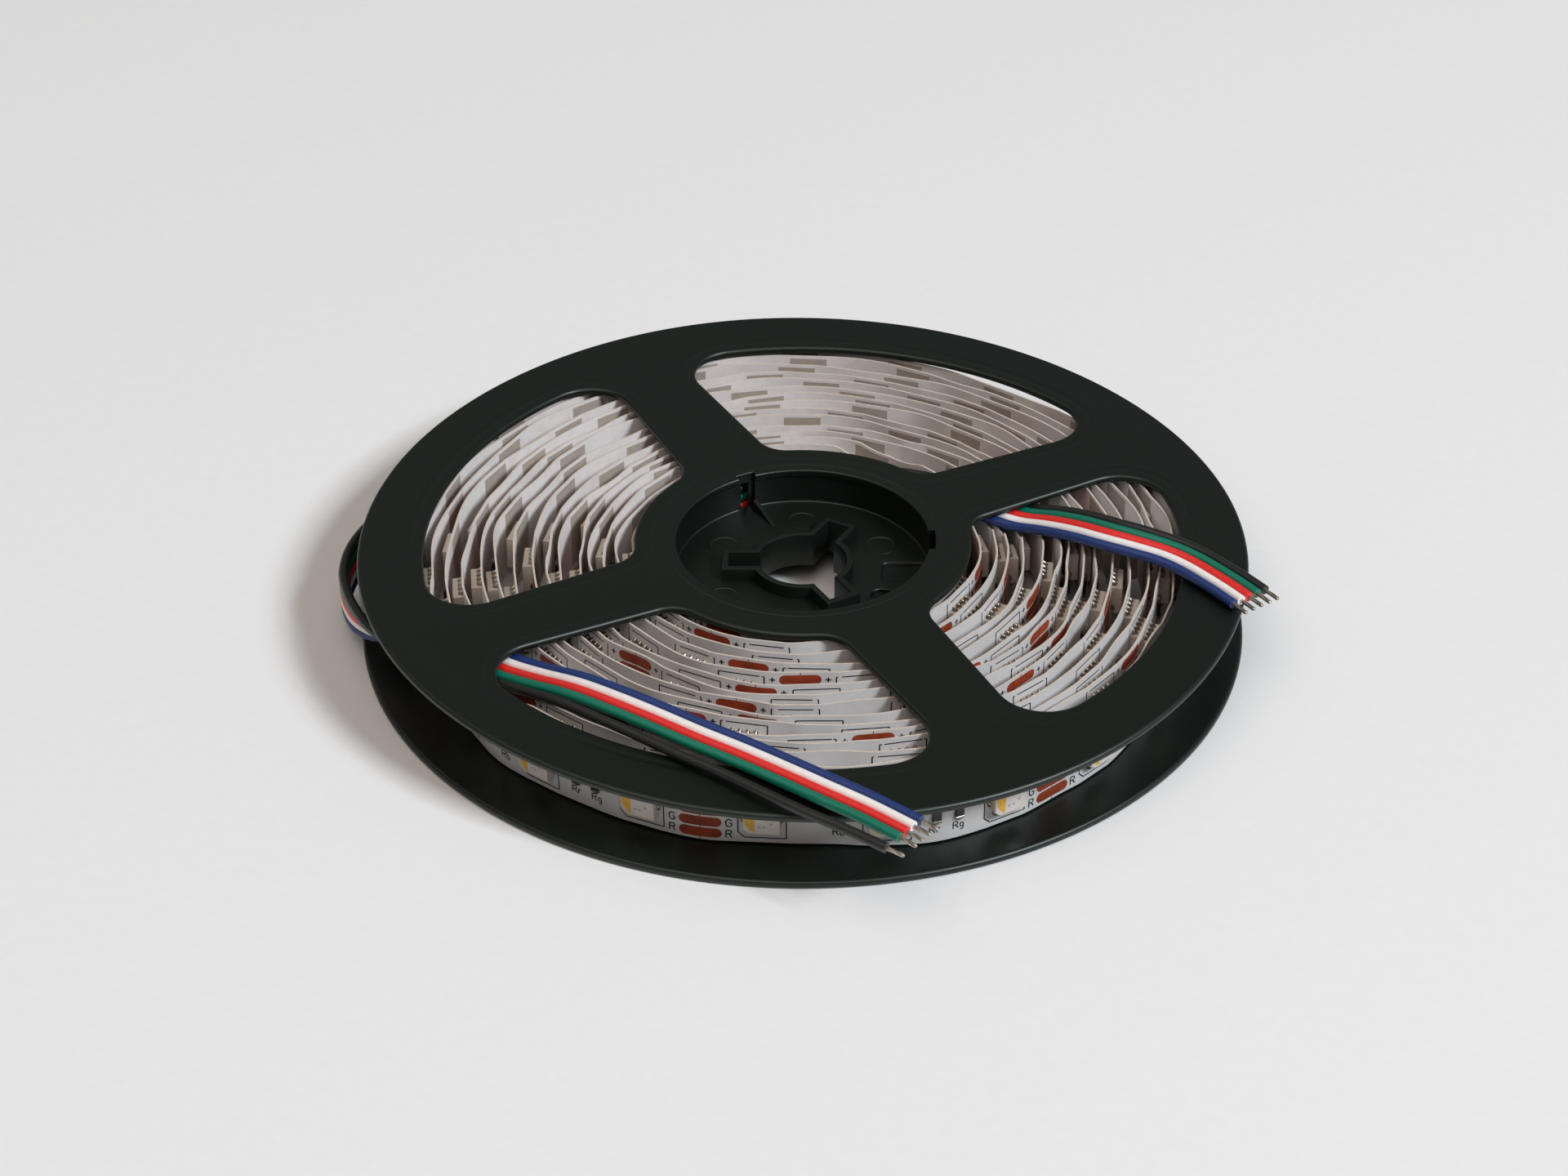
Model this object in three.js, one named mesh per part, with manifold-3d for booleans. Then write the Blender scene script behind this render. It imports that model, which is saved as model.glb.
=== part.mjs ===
// LED strip light reel: a two-flange plastic reel, the wound strip and its two five-wire leads.
// Millimetres, +Z up. The origin is on the reel's axis, in the plane that the lower flange rests on.
import * as THREE from 'three';
import { mergeVertices } from 'three/addons/utils/BufferGeometryUtils.js';
import Module from 'manifold-3d';

const wasm = await Module();
wasm.setup();

// Running gap between neighbours
const CLEARANCE = 0.3;

// Reel
const REEL_DIAMETER = 130;
const FLANGE_THICKNESS = 1.2;
const FLANGE_EDGE_ROUNDING = 0.35;
const RIM_WIDTH = 9.2;

// Spokes and windows
const SPOKE_COUNT = 4;
const FIRST_SPOKE_AZIMUTH = 27.3;
const SPOKE_ROOT_WIDTH = 14.7;
const SPOKE_TAPER = 1.8;
const HUB_RING_WIDTH = 5.5;
const WINDOW_OUTER_FILLET = 7;
const WINDOW_INNER_FILLET = 5;

// Hub
const HUB_OPENING_DIAMETER = 37.8;
const HUB_WALL_THICKNESS = 1.2;
const FLOOR_THICKNESS = 1.4;
const BORE_DIAMETER = 13;
const KEYWAY_COUNT = 3;
const KEYWAY_WIDTH = 3.5;
const KEYWAY_DEPTH = 4.4;
const BORE_RIM_THICKNESS = 1;
const BORE_RIM_HEIGHT = 2.1;
const HUB_MARK_COUNT = 6;
const HUB_MARK_DIAMETER = 4.9;
const HUB_MARK_HEIGHT = 0.3;
const HUB_MARK_CIRCLE_DIAMETER = 26.8;
const WIRE_SLOT_AZIMUTH = 116.4;
const WIRE_SLOT_WIDTH = 1.2;
const WIRE_POCKET_WIDTH = 2.8;
const WIRE_POCKET_DEPTH = 0.6;
const WIRE_SLOT_LIP = 0.4;

// LED strip
const STRIP_WIDTH = 10;
const STRIP_THICKNESS = 0.25;
const LED_PITCH = 16.67;
const LED_SIZE = 5;
const LED_HEIGHT = 1.5;
const LED_SINK = 0.1;
const LED_FLAT_MARGIN = 0.3;
const FIRST_LED_GAP = 8;

// Roll
const ROLL_START_AZIMUTH = 150;
const ROLL_HUB_GAP = 2.3;
const ROLL_EDGE_DEPTH = 7.9;
const TURN_SLACK = 0.41;
const ROLL_OFFSET = 2.4;
const ROLL_OFFSET_AZIMUTH = 285;
const LOOSE_END_LIFT = 2;
const LOOSE_END_ANGLE = 60;
const WIDE_BEND = 0.25;
const SHORT_BEND = 0.15;
const DIP_MARGIN = 1.2;

// Leads
const WIRE_DIAMETER = 1.32;
const WIRE_PITCH = 1.5;
const TINNED_DIAMETER = 0.7;
const TINNED_LENGTH = 2.8;

// Facets of the round outlines, and steps along the roll and the wires
const RIM_SIDES = 72;
const HUB_SIDES = 40;
const MARK_SIDES = 10;
const BORE_ARC_SIDES = 8;
const WINDOW_OUTER_SIDES = 10;
const WINDOW_INNER_SIDES = 4;
const FILLET_SIDES = 4;
const WIRE_SIDES = 8;
const ROLL_STEP_ANGLE = 8.5;
const DIP_STEP = 2;
const WIRE_STEP = 5;
const CROSSING_SAMPLES = 60;

// How far a cutting tool runs past the face that it cuts
const CUT_OVERRUN = 1;

// Sizes that follow
const REEL_HEIGHT = STRIP_WIDTH + 2 * (FLANGE_THICKNESS + CLEARANCE);
const MIDDLE = REEL_HEIGHT / 2;
const OUTER_RADIUS = REEL_DIAMETER / 2;
const HUB_RADIUS = HUB_OPENING_DIAMETER / 2;
const WINDOW_OUTER_RADIUS = OUTER_RADIUS - RIM_WIDTH;
const WINDOW_INNER_RADIUS = HUB_RADIUS + HUB_RING_WIDTH;
const STRIP_TOP = MIDDLE + STRIP_WIDTH / 2;
const STRIP_BOTTOM = MIDDLE - STRIP_WIDTH / 2;
const LED_FLAT_LENGTH = LED_SIZE + 2 * LED_FLAT_MARGIN;
const TURN_PITCH = STRIP_THICKNESS + LED_HEIGHT + TURN_SLACK;
const ROLL_INNER_RADIUS = HUB_RADIUS + HUB_WALL_THICKNESS + ROLL_HUB_GAP;
const ROLL_TURNS = Math.floor((OUTER_RADIUS - ROLL_EDGE_DEPTH - ROLL_INNER_RADIUS) / TURN_PITCH);

const rad = THREE.MathUtils.degToRad;
const TURN = 2 * Math.PI;

function polar(radius, angle) {
  return new THREE.Vector2(radius * Math.cos(angle), radius * Math.sin(angle));
}

// Solids in and out of the boolean library
function solid(geometry) {
  const bare = geometry.index ? geometry.toNonIndexed() : geometry.clone();
  bare.deleteAttribute('normal');
  bare.deleteAttribute('uv');
  const merged = mergeVertices(bare, 1e-4);
  return new wasm.Manifold(new wasm.Mesh({
    numProp: 3,
    vertProperties: new Float32Array(merged.attributes.position.array),
    triVerts: new Uint32Array(merged.index.array),
  }));
}

function geometryOf(manifold) {
  const mesh = manifold.getMesh();
  const geometry = new THREE.BufferGeometry();
  geometry.setAttribute('position', new THREE.BufferAttribute(new Float32Array(mesh.vertProperties), 3));
  geometry.setIndex(new THREE.BufferAttribute(new Uint32Array(mesh.triVerts), 1));
  return geometry;
}

function slab(points, bottom, top) {
  const shape = new THREE.Shape(points);
  const geometry = new THREE.ExtrudeGeometry(shape, { depth: top - bottom, bevelEnabled: false });
  return solid(geometry.translate(0, 0, bottom));
}

function circlePoints(radius, count, x = 0, y = 0) {
  return arcPoints(x, y, radius, 0, TURN, count).slice(0, -1);
}

function arcPoints(x, y, radius, from, to, count) {
  return Array.from({ length: count + 1 }, (_, i) => polar(radius, from + ((to - from) * i) / count)
    .add(new THREE.Vector2(x, y)));
}

// One window, drawn between two spokes: its outline is symmetric about the azimuth midway between them.
function windowPoints(index) {
  const halfPitch = Math.PI / SPOKE_COUNT;
  const middle = rad(FIRST_SPOKE_AZIMUTH) + halfPitch + index * 2 * halfPitch;
  const edgeAngle = halfPitch + rad(SPOKE_TAPER);
  const edgeDistance = (SPOKE_ROOT_WIDTH / 2) * Math.cos(rad(SPOKE_TAPER));
  const cornerAngle = (distance, fillet) => edgeAngle - Math.asin((edgeDistance + fillet) / distance);
  const outerCentre = WINDOW_OUTER_RADIUS - WINDOW_OUTER_FILLET;
  const innerCentre = WINDOW_INNER_RADIUS + WINDOW_INNER_FILLET;
  const outer = cornerAngle(outerCentre, WINDOW_OUTER_FILLET);
  const inner = cornerAngle(innerCentre, WINDOW_INNER_FILLET);
  const square = edgeAngle + Math.PI / 2;
  const arc = (x, y, radius, from, to, sides) => arcPoints(x, y, radius, middle + from, middle + to, sides);
  const fillet = (distance, angle, radius, from, to) => {
    const { x, y } = polar(distance, middle + angle);
    return arc(x, y, radius, from, to, FILLET_SIDES);
  };
  return [
    ...arc(0, 0, WINDOW_OUTER_RADIUS, -outer, outer, WINDOW_OUTER_SIDES).slice(0, -1),
    ...fillet(outerCentre, outer, WINDOW_OUTER_FILLET, outer, square),
    ...fillet(innerCentre, inner, WINDOW_INNER_FILLET, square, inner + Math.PI),
    ...arc(0, 0, WINDOW_INNER_RADIUS, inner, -inner, WINDOW_INNER_SIDES).slice(1, -1),
    ...fillet(innerCentre, -inner, WINDOW_INNER_FILLET, Math.PI - inner, TURN - square),
    ...fillet(outerCentre, -outer, WINDOW_OUTER_FILLET, -square, -outer).slice(0, -1),
  ];
}

// Bore with its keyways, grown outwards by a margin.
function keyedPoints(margin) {
  const radius = BORE_DIAMETER / 2 + margin;
  const half = KEYWAY_WIDTH / 2 + margin;
  const reach = radius + KEYWAY_DEPTH;
  const mouth = Math.asin(half / radius);
  const pitch = TURN / KEYWAY_COUNT;
  const points = [];
  for (let i = 0; i < KEYWAY_COUNT; i += 1) {
    const azimuth = Math.PI + i * pitch;
    for (const side of [-half, half]) {
      points.push(new THREE.Vector2(reach, side).rotateAround(new THREE.Vector2(), azimuth));
    }
    points.push(...arcPoints(0, 0, radius, azimuth + mouth, azimuth + pitch - mouth, BORE_ARC_SIDES));
  }
  return points;
}

// Half of the reel, with its flange up and the plane where the halves meet at z = 0.
function reelHalf() {
  const top = REEL_HEIGHT / 2;
  const underside = top - FLANGE_THICKNESS;
  const floor = FLOOR_THICKNESS / 2;

  const face = new THREE.Shape(circlePoints(OUTER_RADIUS - FLANGE_EDGE_ROUNDING, RIM_SIDES));
  const openings = Array.from({ length: SPOKE_COUNT }, (_, i) => windowPoints(i));
  openings.push(circlePoints(HUB_RADIUS, HUB_SIDES));
  face.holes = openings.map((points) => new THREE.Path(points));
  const flange = new THREE.ExtrudeGeometry(face, {
    depth: FLANGE_THICKNESS - 2 * FLANGE_EDGE_ROUNDING,
    bevelThickness: FLANGE_EDGE_ROUNDING,
    bevelSize: FLANGE_EDGE_ROUNDING,
    bevelSegments: 1,
  });
  let half = solid(flange.translate(0, 0, underside + FLANGE_EDGE_ROUNDING));

  const wallTop = underside + FLANGE_EDGE_ROUNDING;
  const barrel = slab(circlePoints(HUB_RADIUS + HUB_WALL_THICKNESS, HUB_SIDES), 0, wallTop);
  half = half.add(barrel.subtract(slab(circlePoints(HUB_RADIUS, HUB_SIDES), floor, wallTop + CUT_OVERRUN)));
  half = half.add(slab(keyedPoints(BORE_RIM_THICKNESS), 0, floor + BORE_RIM_HEIGHT));
  half = half.subtract(slab(keyedPoints(0), -CUT_OVERRUN, top + CUT_OVERRUN));

  for (let i = 0; i < HUB_MARK_COUNT; i += 1) {
    const { x, y } = polar(HUB_MARK_CIRCLE_DIAMETER / 2, (TURN * (i + 0.5)) / HUB_MARK_COUNT);
    const mark = circlePoints(HUB_MARK_DIAMETER / 2, MARK_SIDES, x, y);
    half = half.add(slab(mark, floor / 2, floor + HUB_MARK_HEIGHT));
  }

  const slotTop = underside - WIRE_SLOT_LIP;
  const slotHeight = slotTop - floor;
  const cut = (width, inner, outer) => {
    const box = new THREE.BoxGeometry(outer - inner, width, slotHeight);
    box.translate((inner + outer) / 2, 0, floor + slotHeight / 2).rotateZ(rad(WIRE_SLOT_AZIMUTH));
    return solid(box);
  };
  const inside = HUB_RADIUS - CUT_OVERRUN;
  half = half.subtract(cut(WIRE_SLOT_WIDTH, inside, HUB_RADIUS + HUB_WALL_THICKNESS + CUT_OVERRUN));
  half = half.subtract(cut(WIRE_POCKET_WIDTH, inside, HUB_RADIUS + WIRE_POCKET_DEPTH));
  return geometryOf(half);
}

// The same moulding turned upside down: every triangle is mirrored and rewound.
function mirrored(geometry) {
  const copy = geometry.clone().scale(1, 1, -1);
  const index = copy.index.array;
  for (let i = 0; i < index.length; i += 3) [index[i], index[i + 1]] = [index[i + 1], index[i]];
  return copy;
}

// Middle line of each lead: x, y, z, tilt of the row of wires (0 flat, 90 on edge with black on top),
// and how far the black wire has parted from the others.
const OUTER_LEAD = [
  [-50.2, 29.6, 6.5, 90, 0],
  [-54.9, 24.6, 6.5, 90, 0],
  [-59.9, 18.2, 6.5, 90, 0],
  [-64.0, 10.8, 6.5, 90, 0],
  [-66.7, 3.4, 6.5, 90, 0],
  [-67.2, -3.4, 6.5, 90, 0],
  [-65.6, -9.4, 6.7, 84, 0],
  [-63.1, -13.7, 7.3, 66, 0],
  [-60.4, -17.2, 8.5, 42, 0],
  [-57.6, -19.9, 9.8, 18, 0],
  [-54.4, -22.1, 10.6, 4, 0],
  [-50.8, -24.0, 10.8, 0, 0],
  [-47.4, -26.1, 10.8, 0, 0],
  [-44.2, -28.2, 10.8, 0, 0],
  [-41.4, -30.1, 10.8, 0, 0.1],
  [-37.2, -33.5, 11.8, 0, 0.3],
  [-31.6, -37.9, 13.3, 0, 0.6],
  [-25.8, -42.2, 13.9, 0, 0.9],
  [-20.2, -46.1, 14.0, 0, 1.1],
  [-14.7, -50.0, 14.0, 0, 1.3],
  [-9.1, -53.7, 14.0, 0, 1.5],
  [-3.6, -57.6, 14.0, 0, 1.7],
  [2.0, -61.7, 14.0, 0, 1.8],
  [7.6, -65.8, 14.0, 0, 1.6],
  [13.0, -70.3, 14.0, 0, 1.2],
];
const INNER_LEAD = [
  [-18.8, 10.0, 6.5, 90, 0],
  [-16.3, 13.7, 6.5, 90, 0],
  [-13.1, 16.8, 6.5, 90, 0],
  [-9.3, 19.1, 6.5, 90, 0],
  [-5.2, 20.7, 6.5, 90, 0],
  [-0.7, 21.3, 6.8, 90, 0],
  [3.0, 21.1, 7.3, 90, 0],
  [6.7, 20.5, 7.7, 82, 0],
  [10.2, 19.9, 8.0, 66, 0],
  [13.8, 19.2, 9.0, 36, 0],
  [17.0, 17.9, 10.2, 10, 0],
  [20.0, 16.4, 10.8, 0, 0],
  [23.2, 14.5, 10.8, 0, 0],
  [26.6, 12.5, 10.8, 0, 0],
  [30.0, 10.6, 10.8, 0, 0],
  [33.2, 8.6, 10.9, 0, 0],
  [36.9, 5.9, 12.1, 3, 0],
  [40.8, 2.8, 13.2, 4, 0],
  [45.0, -0.5, 13.9, 3, 0],
  [49.2, -3.0, 14.1, 2, 0],
  [53.3, -5.5, 14.1, 0, 0],
  [56.3, -8.0, 14.0, 0, 0],
  [58.8, -10.9, 14.0, 0, 0],
  [61.4, -14.2, 14.0, 0, 0],
  [63.4, -17.0, 14.0, 0, 0],
];

// Side is +1 where black lies on the right of the lead's run, and -1 where it lies on the left.
// Crossing gives the first and last of the lead's points over the roll.
const LEADS = [
  { lead: 'outer', line: OUTER_LEAD, side: 1, crossing: [9, 17] },
  { lead: 'inner', line: INNER_LEAD, side: -1, crossing: [8, 18] },
];
const WIRES = [
  { name: 'black', colour: 0x262826, place: 2 },
  { name: 'green', colour: 0x00805f, place: 1 },
  { name: 'red', colour: 0xe0302e, place: 0 },
  { name: 'white', colour: 0xeeeae6, place: -1 },
  { name: 'blue', colour: 0x20407c, place: -2 },
];

// Centre line of one wire of a lead.
function wirePath(line, side, place) {
  const points = line.map(([x, y, z, tilt, parting], i) => {
    const before = line[Math.max(i - 1, 0)];
    const after = line[Math.min(i + 1, line.length - 1)];
    const run = new THREE.Vector2(after[0] - before[0], after[1] - before[1]).normalize();
    const offset = place * WIRE_PITCH + (place === WIRES[0].place ? parting : 0);
    const level = offset * Math.cos(rad(tilt)) * side;
    return new THREE.Vector3(x + run.y * level, y - run.x * level, z + offset * Math.sin(rad(tilt)));
  });
  return new THREE.CatmullRomCurve3(points, false, 'centripetal');
}

function wireGeometry(path) {
  return new THREE.ExtrudeGeometry(new THREE.Shape(circlePoints(WIRE_DIAMETER / 2, WIRE_SIDES)), {
    extrudePath: path, steps: Math.round(path.getLength() / WIRE_STEP),
  });
}

function tinnedEnd(path) {
  const end = path.getPoint(1);
  const radius = TINNED_DIAMETER / 2;
  const turned = new THREE.Quaternion().setFromUnitVectors(new THREE.Vector3(0, 1, 0), path.getTangent(1));
  const geometry = new THREE.CylinderGeometry(radius, radius, TINNED_LENGTH, WIRE_SIDES);
  geometry.translate(0, TINNED_LENGTH / 2, 0).applyQuaternion(turned);
  return geometry.translate(end.x, end.y, end.z);
}

// Where the leads cross the roll, under the flange, the strip's upper edge gives way to them.
const crossings = LEADS.flatMap(({ line, side, crossing }) => WIRES.flatMap(({ place }) => {
  const path = wirePath(line, side, place);
  const [from, to] = crossing.map((i) => i / (line.length - 1));
  return Array.from({ length: CROSSING_SAMPLES + 1 }, (_, i) => path.getPoint(
    from + ((to - from) * i) / CROSSING_SAMPLES,
  ));
})).filter((p) => p.z - WIRE_DIAMETER / 2 - CLEARANCE < STRIP_TOP);

function nearestCrossing(point) {
  return Math.min(...crossings.map((p) => Math.hypot(p.x - point.x, p.y - point.y)));
}

function stripTop(point) {
  const reach = WIRE_DIAMETER / 2 + CLEARANCE + DIP_MARGIN;
  const over = crossings.filter((p) => Math.hypot(p.x - point.x, p.y - point.y) < reach);
  return Math.min(STRIP_TOP, ...over.map((p) => p.z - WIRE_DIAMETER / 2 - CLEARANCE));
}

// Radius of the strip's inner face. Every turn shares the roll's small bends, so the turns stay apart.
function rollPoint(angle) {
  const turned = angle - rad(ROLL_START_AZIMUTH);
  const whole = ROLL_TURNS * TURN;
  const share = turned / whole;
  const bends = WIDE_BEND * Math.sin(5 * angle + 1) + SHORT_BEND * Math.sin(9 * angle);
  const drift = ROLL_OFFSET * share * Math.cos(angle - rad(ROLL_OFFSET_AZIMUTH));
  const lift = LOOSE_END_LIFT * THREE.MathUtils.smoothstep(turned, whole - rad(LOOSE_END_ANGLE), whole);
  return polar(ROLL_INNER_RADIUS + (turned / TURN) * TURN_PITCH + share * bends + drift + lift, angle);
}

// Points along the roll: a flat under each LED, and short steps between them.
function rollLine() {
  const last = rad(ROLL_START_AZIMUTH) + ROLL_TURNS * TURN;
  let gap = FIRST_LED_GAP;
  const angles = [rad(ROLL_START_AZIMUTH)];
  const flats = [];
  const advance = (length) => {
    const angle = angles[angles.length - 1];
    return angle + length / rollPoint(angle).length();
  };
  while (advance(LED_PITCH) < last) {
    const steps = Math.ceil((advance(gap) - angles[angles.length - 1]) / rad(ROLL_STEP_ANGLE));
    for (let i = 0; i < steps; i += 1) angles.push(advance(gap / steps));
    flats.push([rollPoint(angles[angles.length - 1]), rollPoint(advance(LED_FLAT_LENGTH))]);
    angles.push(advance(LED_FLAT_LENGTH));
    gap = LED_PITCH - LED_FLAT_LENGTH;
  }
  const points = [];
  angles.forEach((angle, i) => {
    const here = rollPoint(angle);
    points.push(here);
    if (i === angles.length - 1) return;
    const next = rollPoint(angles[i + 1]);
    const pieces = Math.ceil(here.distanceTo(next) / DIP_STEP);
    const between = Array.from({ length: pieces - 1 }, (_, j) => here.clone().lerp(next, (j + 1) / pieces));
    points.push(...between.filter((p) => nearestCrossing(p) < 2 * DIP_STEP));
  });
  return { points, flats };
}

function outward(before, after) {
  const run = after.clone().sub(before).normalize();
  return new THREE.Vector2(run.y, -run.x);
}

function ledStrip() {
  const { points, flats } = rollLine();
  const positions = [];
  const index = [];
  points.forEach((point, i) => {
    const normal = outward(points[Math.max(i - 1, 0)], points[Math.min(i + 1, points.length - 1)]);
    const outer = point.clone().addScaledVector(normal, STRIP_THICKNESS);
    const top = stripTop(point);
    positions.push(point.x, point.y, STRIP_BOTTOM, outer.x, outer.y, STRIP_BOTTOM);
    positions.push(outer.x, outer.y, top, point.x, point.y, top);
    if (i === 0) return;
    for (let side = 0; side < 4; side += 1) {
      const [a, b] = [4 * i + side, 4 * i + ((side + 1) % 4)];
      index.push(a - 4, b, b - 4, a - 4, a, b);
    }
  });
  const last = 4 * (points.length - 1);
  index.push(0, 1, 2, 0, 2, 3, last, last + 2, last + 1, last, last + 3, last + 2);
  const ribbon = new THREE.BufferGeometry();
  ribbon.setAttribute('position', new THREE.BufferAttribute(new Float32Array(positions), 3));
  ribbon.setIndex(index);

  const leds = flats.map(([from, to]) => {
    const normal = outward(from, to);
    const centre = from.clone().lerp(to, 0.5).addScaledVector(normal, STRIP_THICKNESS - LED_SINK);
    const box = new THREE.BoxGeometry(LED_HEIGHT + LED_SINK, LED_SIZE, LED_SIZE);
    box.translate((LED_HEIGHT + LED_SINK) / 2, 0, 0).rotateZ(normal.angle());
    return solid(box.translate(centre.x, centre.y, MIDDLE));
  });
  return geometryOf(wasm.Manifold.union([solid(ribbon), ...leds]));
}

// Assembly
const reel = new THREE.Group();
const abs = { color: 0x212522, roughness: 0.55, metalness: 0 };
const film = { color: 0xe6e2dc, roughness: 0.5, metalness: 0 };
const tin = { color: 0xc8c8c4, roughness: 0.3, metalness: 1 };

function addPart(name, geometry, look) {
  const mesh = new THREE.Mesh(geometry, new THREE.MeshStandardMaterial(look));
  mesh.name = name;
  reel.add(mesh);
  return mesh;
}

const half = reelHalf();
addPart('upper_reel_half', half, abs).position.z = MIDDLE;
addPart('lower_reel_half', mirrored(half), abs).position.z = MIDDLE;
addPart('led_strip', ledStrip(), film);

for (const { lead, line, side } of LEADS) {
  for (const { name, colour, place } of WIRES) {
    const path = wirePath(line, side, place);
    addPart(`${lead}_lead_${name}_wire`, wireGeometry(path), { color: colour, roughness: 0.4, metalness: 0 });
    addPart(`${lead}_lead_${name}_tinned_end`, tinnedEnd(path), tin);
  }
}

export default reel;
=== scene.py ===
"""Looks of the LED strip light reel, laid out as an add-on: each operator makes one group of pieces."""

import math

import bmesh
import bpy
import numpy as np
from mathutils import Matrix, Vector
from mathutils.geometry import tessellate_polygon


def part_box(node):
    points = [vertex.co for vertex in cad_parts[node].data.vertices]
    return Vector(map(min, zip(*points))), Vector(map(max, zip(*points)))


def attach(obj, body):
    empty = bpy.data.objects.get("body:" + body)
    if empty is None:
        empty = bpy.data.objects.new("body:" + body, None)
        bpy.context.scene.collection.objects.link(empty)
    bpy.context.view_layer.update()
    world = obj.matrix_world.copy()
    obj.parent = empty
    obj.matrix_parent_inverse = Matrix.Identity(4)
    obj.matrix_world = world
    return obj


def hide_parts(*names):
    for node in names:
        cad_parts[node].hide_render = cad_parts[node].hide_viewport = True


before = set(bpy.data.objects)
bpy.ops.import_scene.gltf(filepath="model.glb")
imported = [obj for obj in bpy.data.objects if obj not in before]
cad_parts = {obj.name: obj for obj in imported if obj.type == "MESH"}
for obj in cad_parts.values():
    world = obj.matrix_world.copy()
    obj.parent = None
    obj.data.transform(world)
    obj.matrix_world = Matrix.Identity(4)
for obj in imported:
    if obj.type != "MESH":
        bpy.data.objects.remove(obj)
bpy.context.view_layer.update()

bl_info = {
    "name": "LED strip light reel",
    "version": (1, 0, 0),
    "blender": (4, 5, 0),
    "location": "View3D > Sidebar > LED reel",
    "description": "Moulded reel halves, wound strip with its LEDs and prints, and the two ribbon leads",
    "category": "Object",
}

BODY = "root"
MM = 0.001
TURN = 2 * math.pi

# Places that the frame gives
UPPER_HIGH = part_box("upper_reel_half")[1]
LOWER_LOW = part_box("lower_reel_half")[0]
STRIP_LOW, STRIP_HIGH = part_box("led_strip")
REEL_RADIUS = UPPER_HIGH.x
REEL_TOP = UPPER_HIGH.z
MIDDLE = (UPPER_HIGH.z + LOWER_LOW.z) / 2
STRIP_BOTTOM = STRIP_LOW.z
STRIP_WIDTH = STRIP_HIGH.z - STRIP_LOW.z

# Reel halves, as in the part's source
FLANGE_THICKNESS = 1.2 * MM
RIM_WIDTH = 9.2 * MM
SPOKE_COUNT = 4
FIRST_SPOKE_AZIMUTH = math.radians(27.3)
SPOKE_ROOT_WIDTH = 14.7 * MM
SPOKE_TAPER = math.radians(1.8)
HUB_RING_WIDTH = 5.5 * MM
WINDOW_OUTER_FILLET = 7 * MM
WINDOW_INNER_FILLET = 5 * MM
HUB_RADIUS = 18.9 * MM
HUB_WALL_THICKNESS = 1.2 * MM
FLOOR_HEIGHT = 0.7 * MM
BORE_RADIUS = 6.5 * MM
KEYWAY_COUNT = 3
KEYWAY_WIDTH = 3.5 * MM
KEYWAY_DEPTH = 4.4 * MM
BORE_RIM_THICKNESS = 1 * MM
BORE_RIM_HEIGHT = 2.1 * MM
MARK_COUNT = 6
MARK_RADIUS = 2.45 * MM
MARK_CIRCLE_RADIUS = 13.4 * MM
WIRE_SLOT_AZIMUTH = math.radians(116.4)
WIRE_SLOT_WIDTH = 1.2 * MM
WIRE_POCKET_WIDTH = 2.8 * MM
WIRE_POCKET_DEPTH = 0.6 * MM
WIRE_SLOT_LIP = 0.4 * MM

# Details of the mouldings that only the looks have
EDGE_LIP = 0.35 * MM
EDGE_STEPS = 8
FACE_STEP = 0.1 * MM
UNDERSIDE_STEP = 0.6 * MM
GROOVE_START = 1.4 * MM
GROOVE_END = 3.0 * MM
RIM_FLAT = 5.2 * MM
SEAM_RADIUS = 20.2 * MM
SEAM_WIDTH = 0.3 * MM
SEAM_DEPTH = 0.06 * MM
TRENCH_AZIMUTH = math.radians(-1.5)
TRENCH_WIDTH = 4.9 * MM
TRENCH_START = 11.7 * MM
TRENCH_END = 18.8 * MM
TRENCH_DEPTH = 0.6 * MM
TRENCH_LIP = 0.3 * MM
TRENCH_CORNER = 1.0 * MM
MARK_SIDES = 40
SUNK_MARK = 5
SUNK_MARK_DEPTH = 0.5 * MM
# Share of the radius and height in mm of each ring of an ejector mark, then the same of the sunk one
MARK_RINGS = ((1.0, 0), (0.98, 0.1), (0.93, 0.14), (0.86, 0.1), (0.82, 0.03))
SUNK_MARK_RINGS = (*MARK_RINGS[:4], (0.75, 0.08), (0.72, 0))
RIB_START = (-7.1 * MM, 17.3 * MM)
RIB_END = (-4.3 * MM, 12.0 * MM)
RIB_WIDTH = 0.6 * MM
RIB_HEIGHT = 1.3 * MM
RIB_KNEE = (0.8, 0.3)
FLOOR_FILLET = 0.3 * MM
FLOOR_OVERLAP = 0.35 * MM
HUB_EDGE_ROUNDING = 0.35 * MM
BORE_RIM_ROUNDING = 0.25 * MM
RIM_BOW_START = 55 * MM
# Azimuth, reach and rise of each bow of the upper rim, measured against the photo's rim
RIM_BOWS = (
    (math.radians(292), math.radians(55), -1.1 * MM),
    (math.radians(212), math.radians(48), 0.8 * MM),
    (math.radians(105), math.radians(50), 0.4 * MM),
    (math.radians(30), math.radians(45), -0.4 * MM),
)

# Roll, as in the part's source
FILM_THICKNESS = 0.25 * MM
LED_PITCH = 16.67 * MM
LED_SIZE = 5 * MM
LED_HEIGHT = 1.5 * MM
LED_FLAT = 5.6 * MM
FIRST_LED_GAP = 8 * MM
ROLL_START = math.radians(150)
ROLL_TURNS = 16
ROLL_INNER_RADIUS = 22.4 * MM
TURN_PITCH = 2.16 * MM
ROLL_OFFSET = 2.4 * MM
ROLL_OFFSET_AZIMUTH = math.radians(285)
LOOSE_END_LIFT = 2 * MM
LOOSE_END_ANGLE = math.radians(60)
WIDE_BEND = 0.25 * MM
SHORT_BEND = 0.15 * MM
ROLL_STEP = math.radians(8.5)

# Where the turns stand out further, which only the looks have: azimuth, reach, distance and last turn
SPREADS = (
    (math.radians(172), math.radians(65), 2.6 * MM, 15.3),
    (math.radians(108), math.radians(60), 4.2 * MM, 15.75),
)
SPREAD_FADE = 0.35

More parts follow.
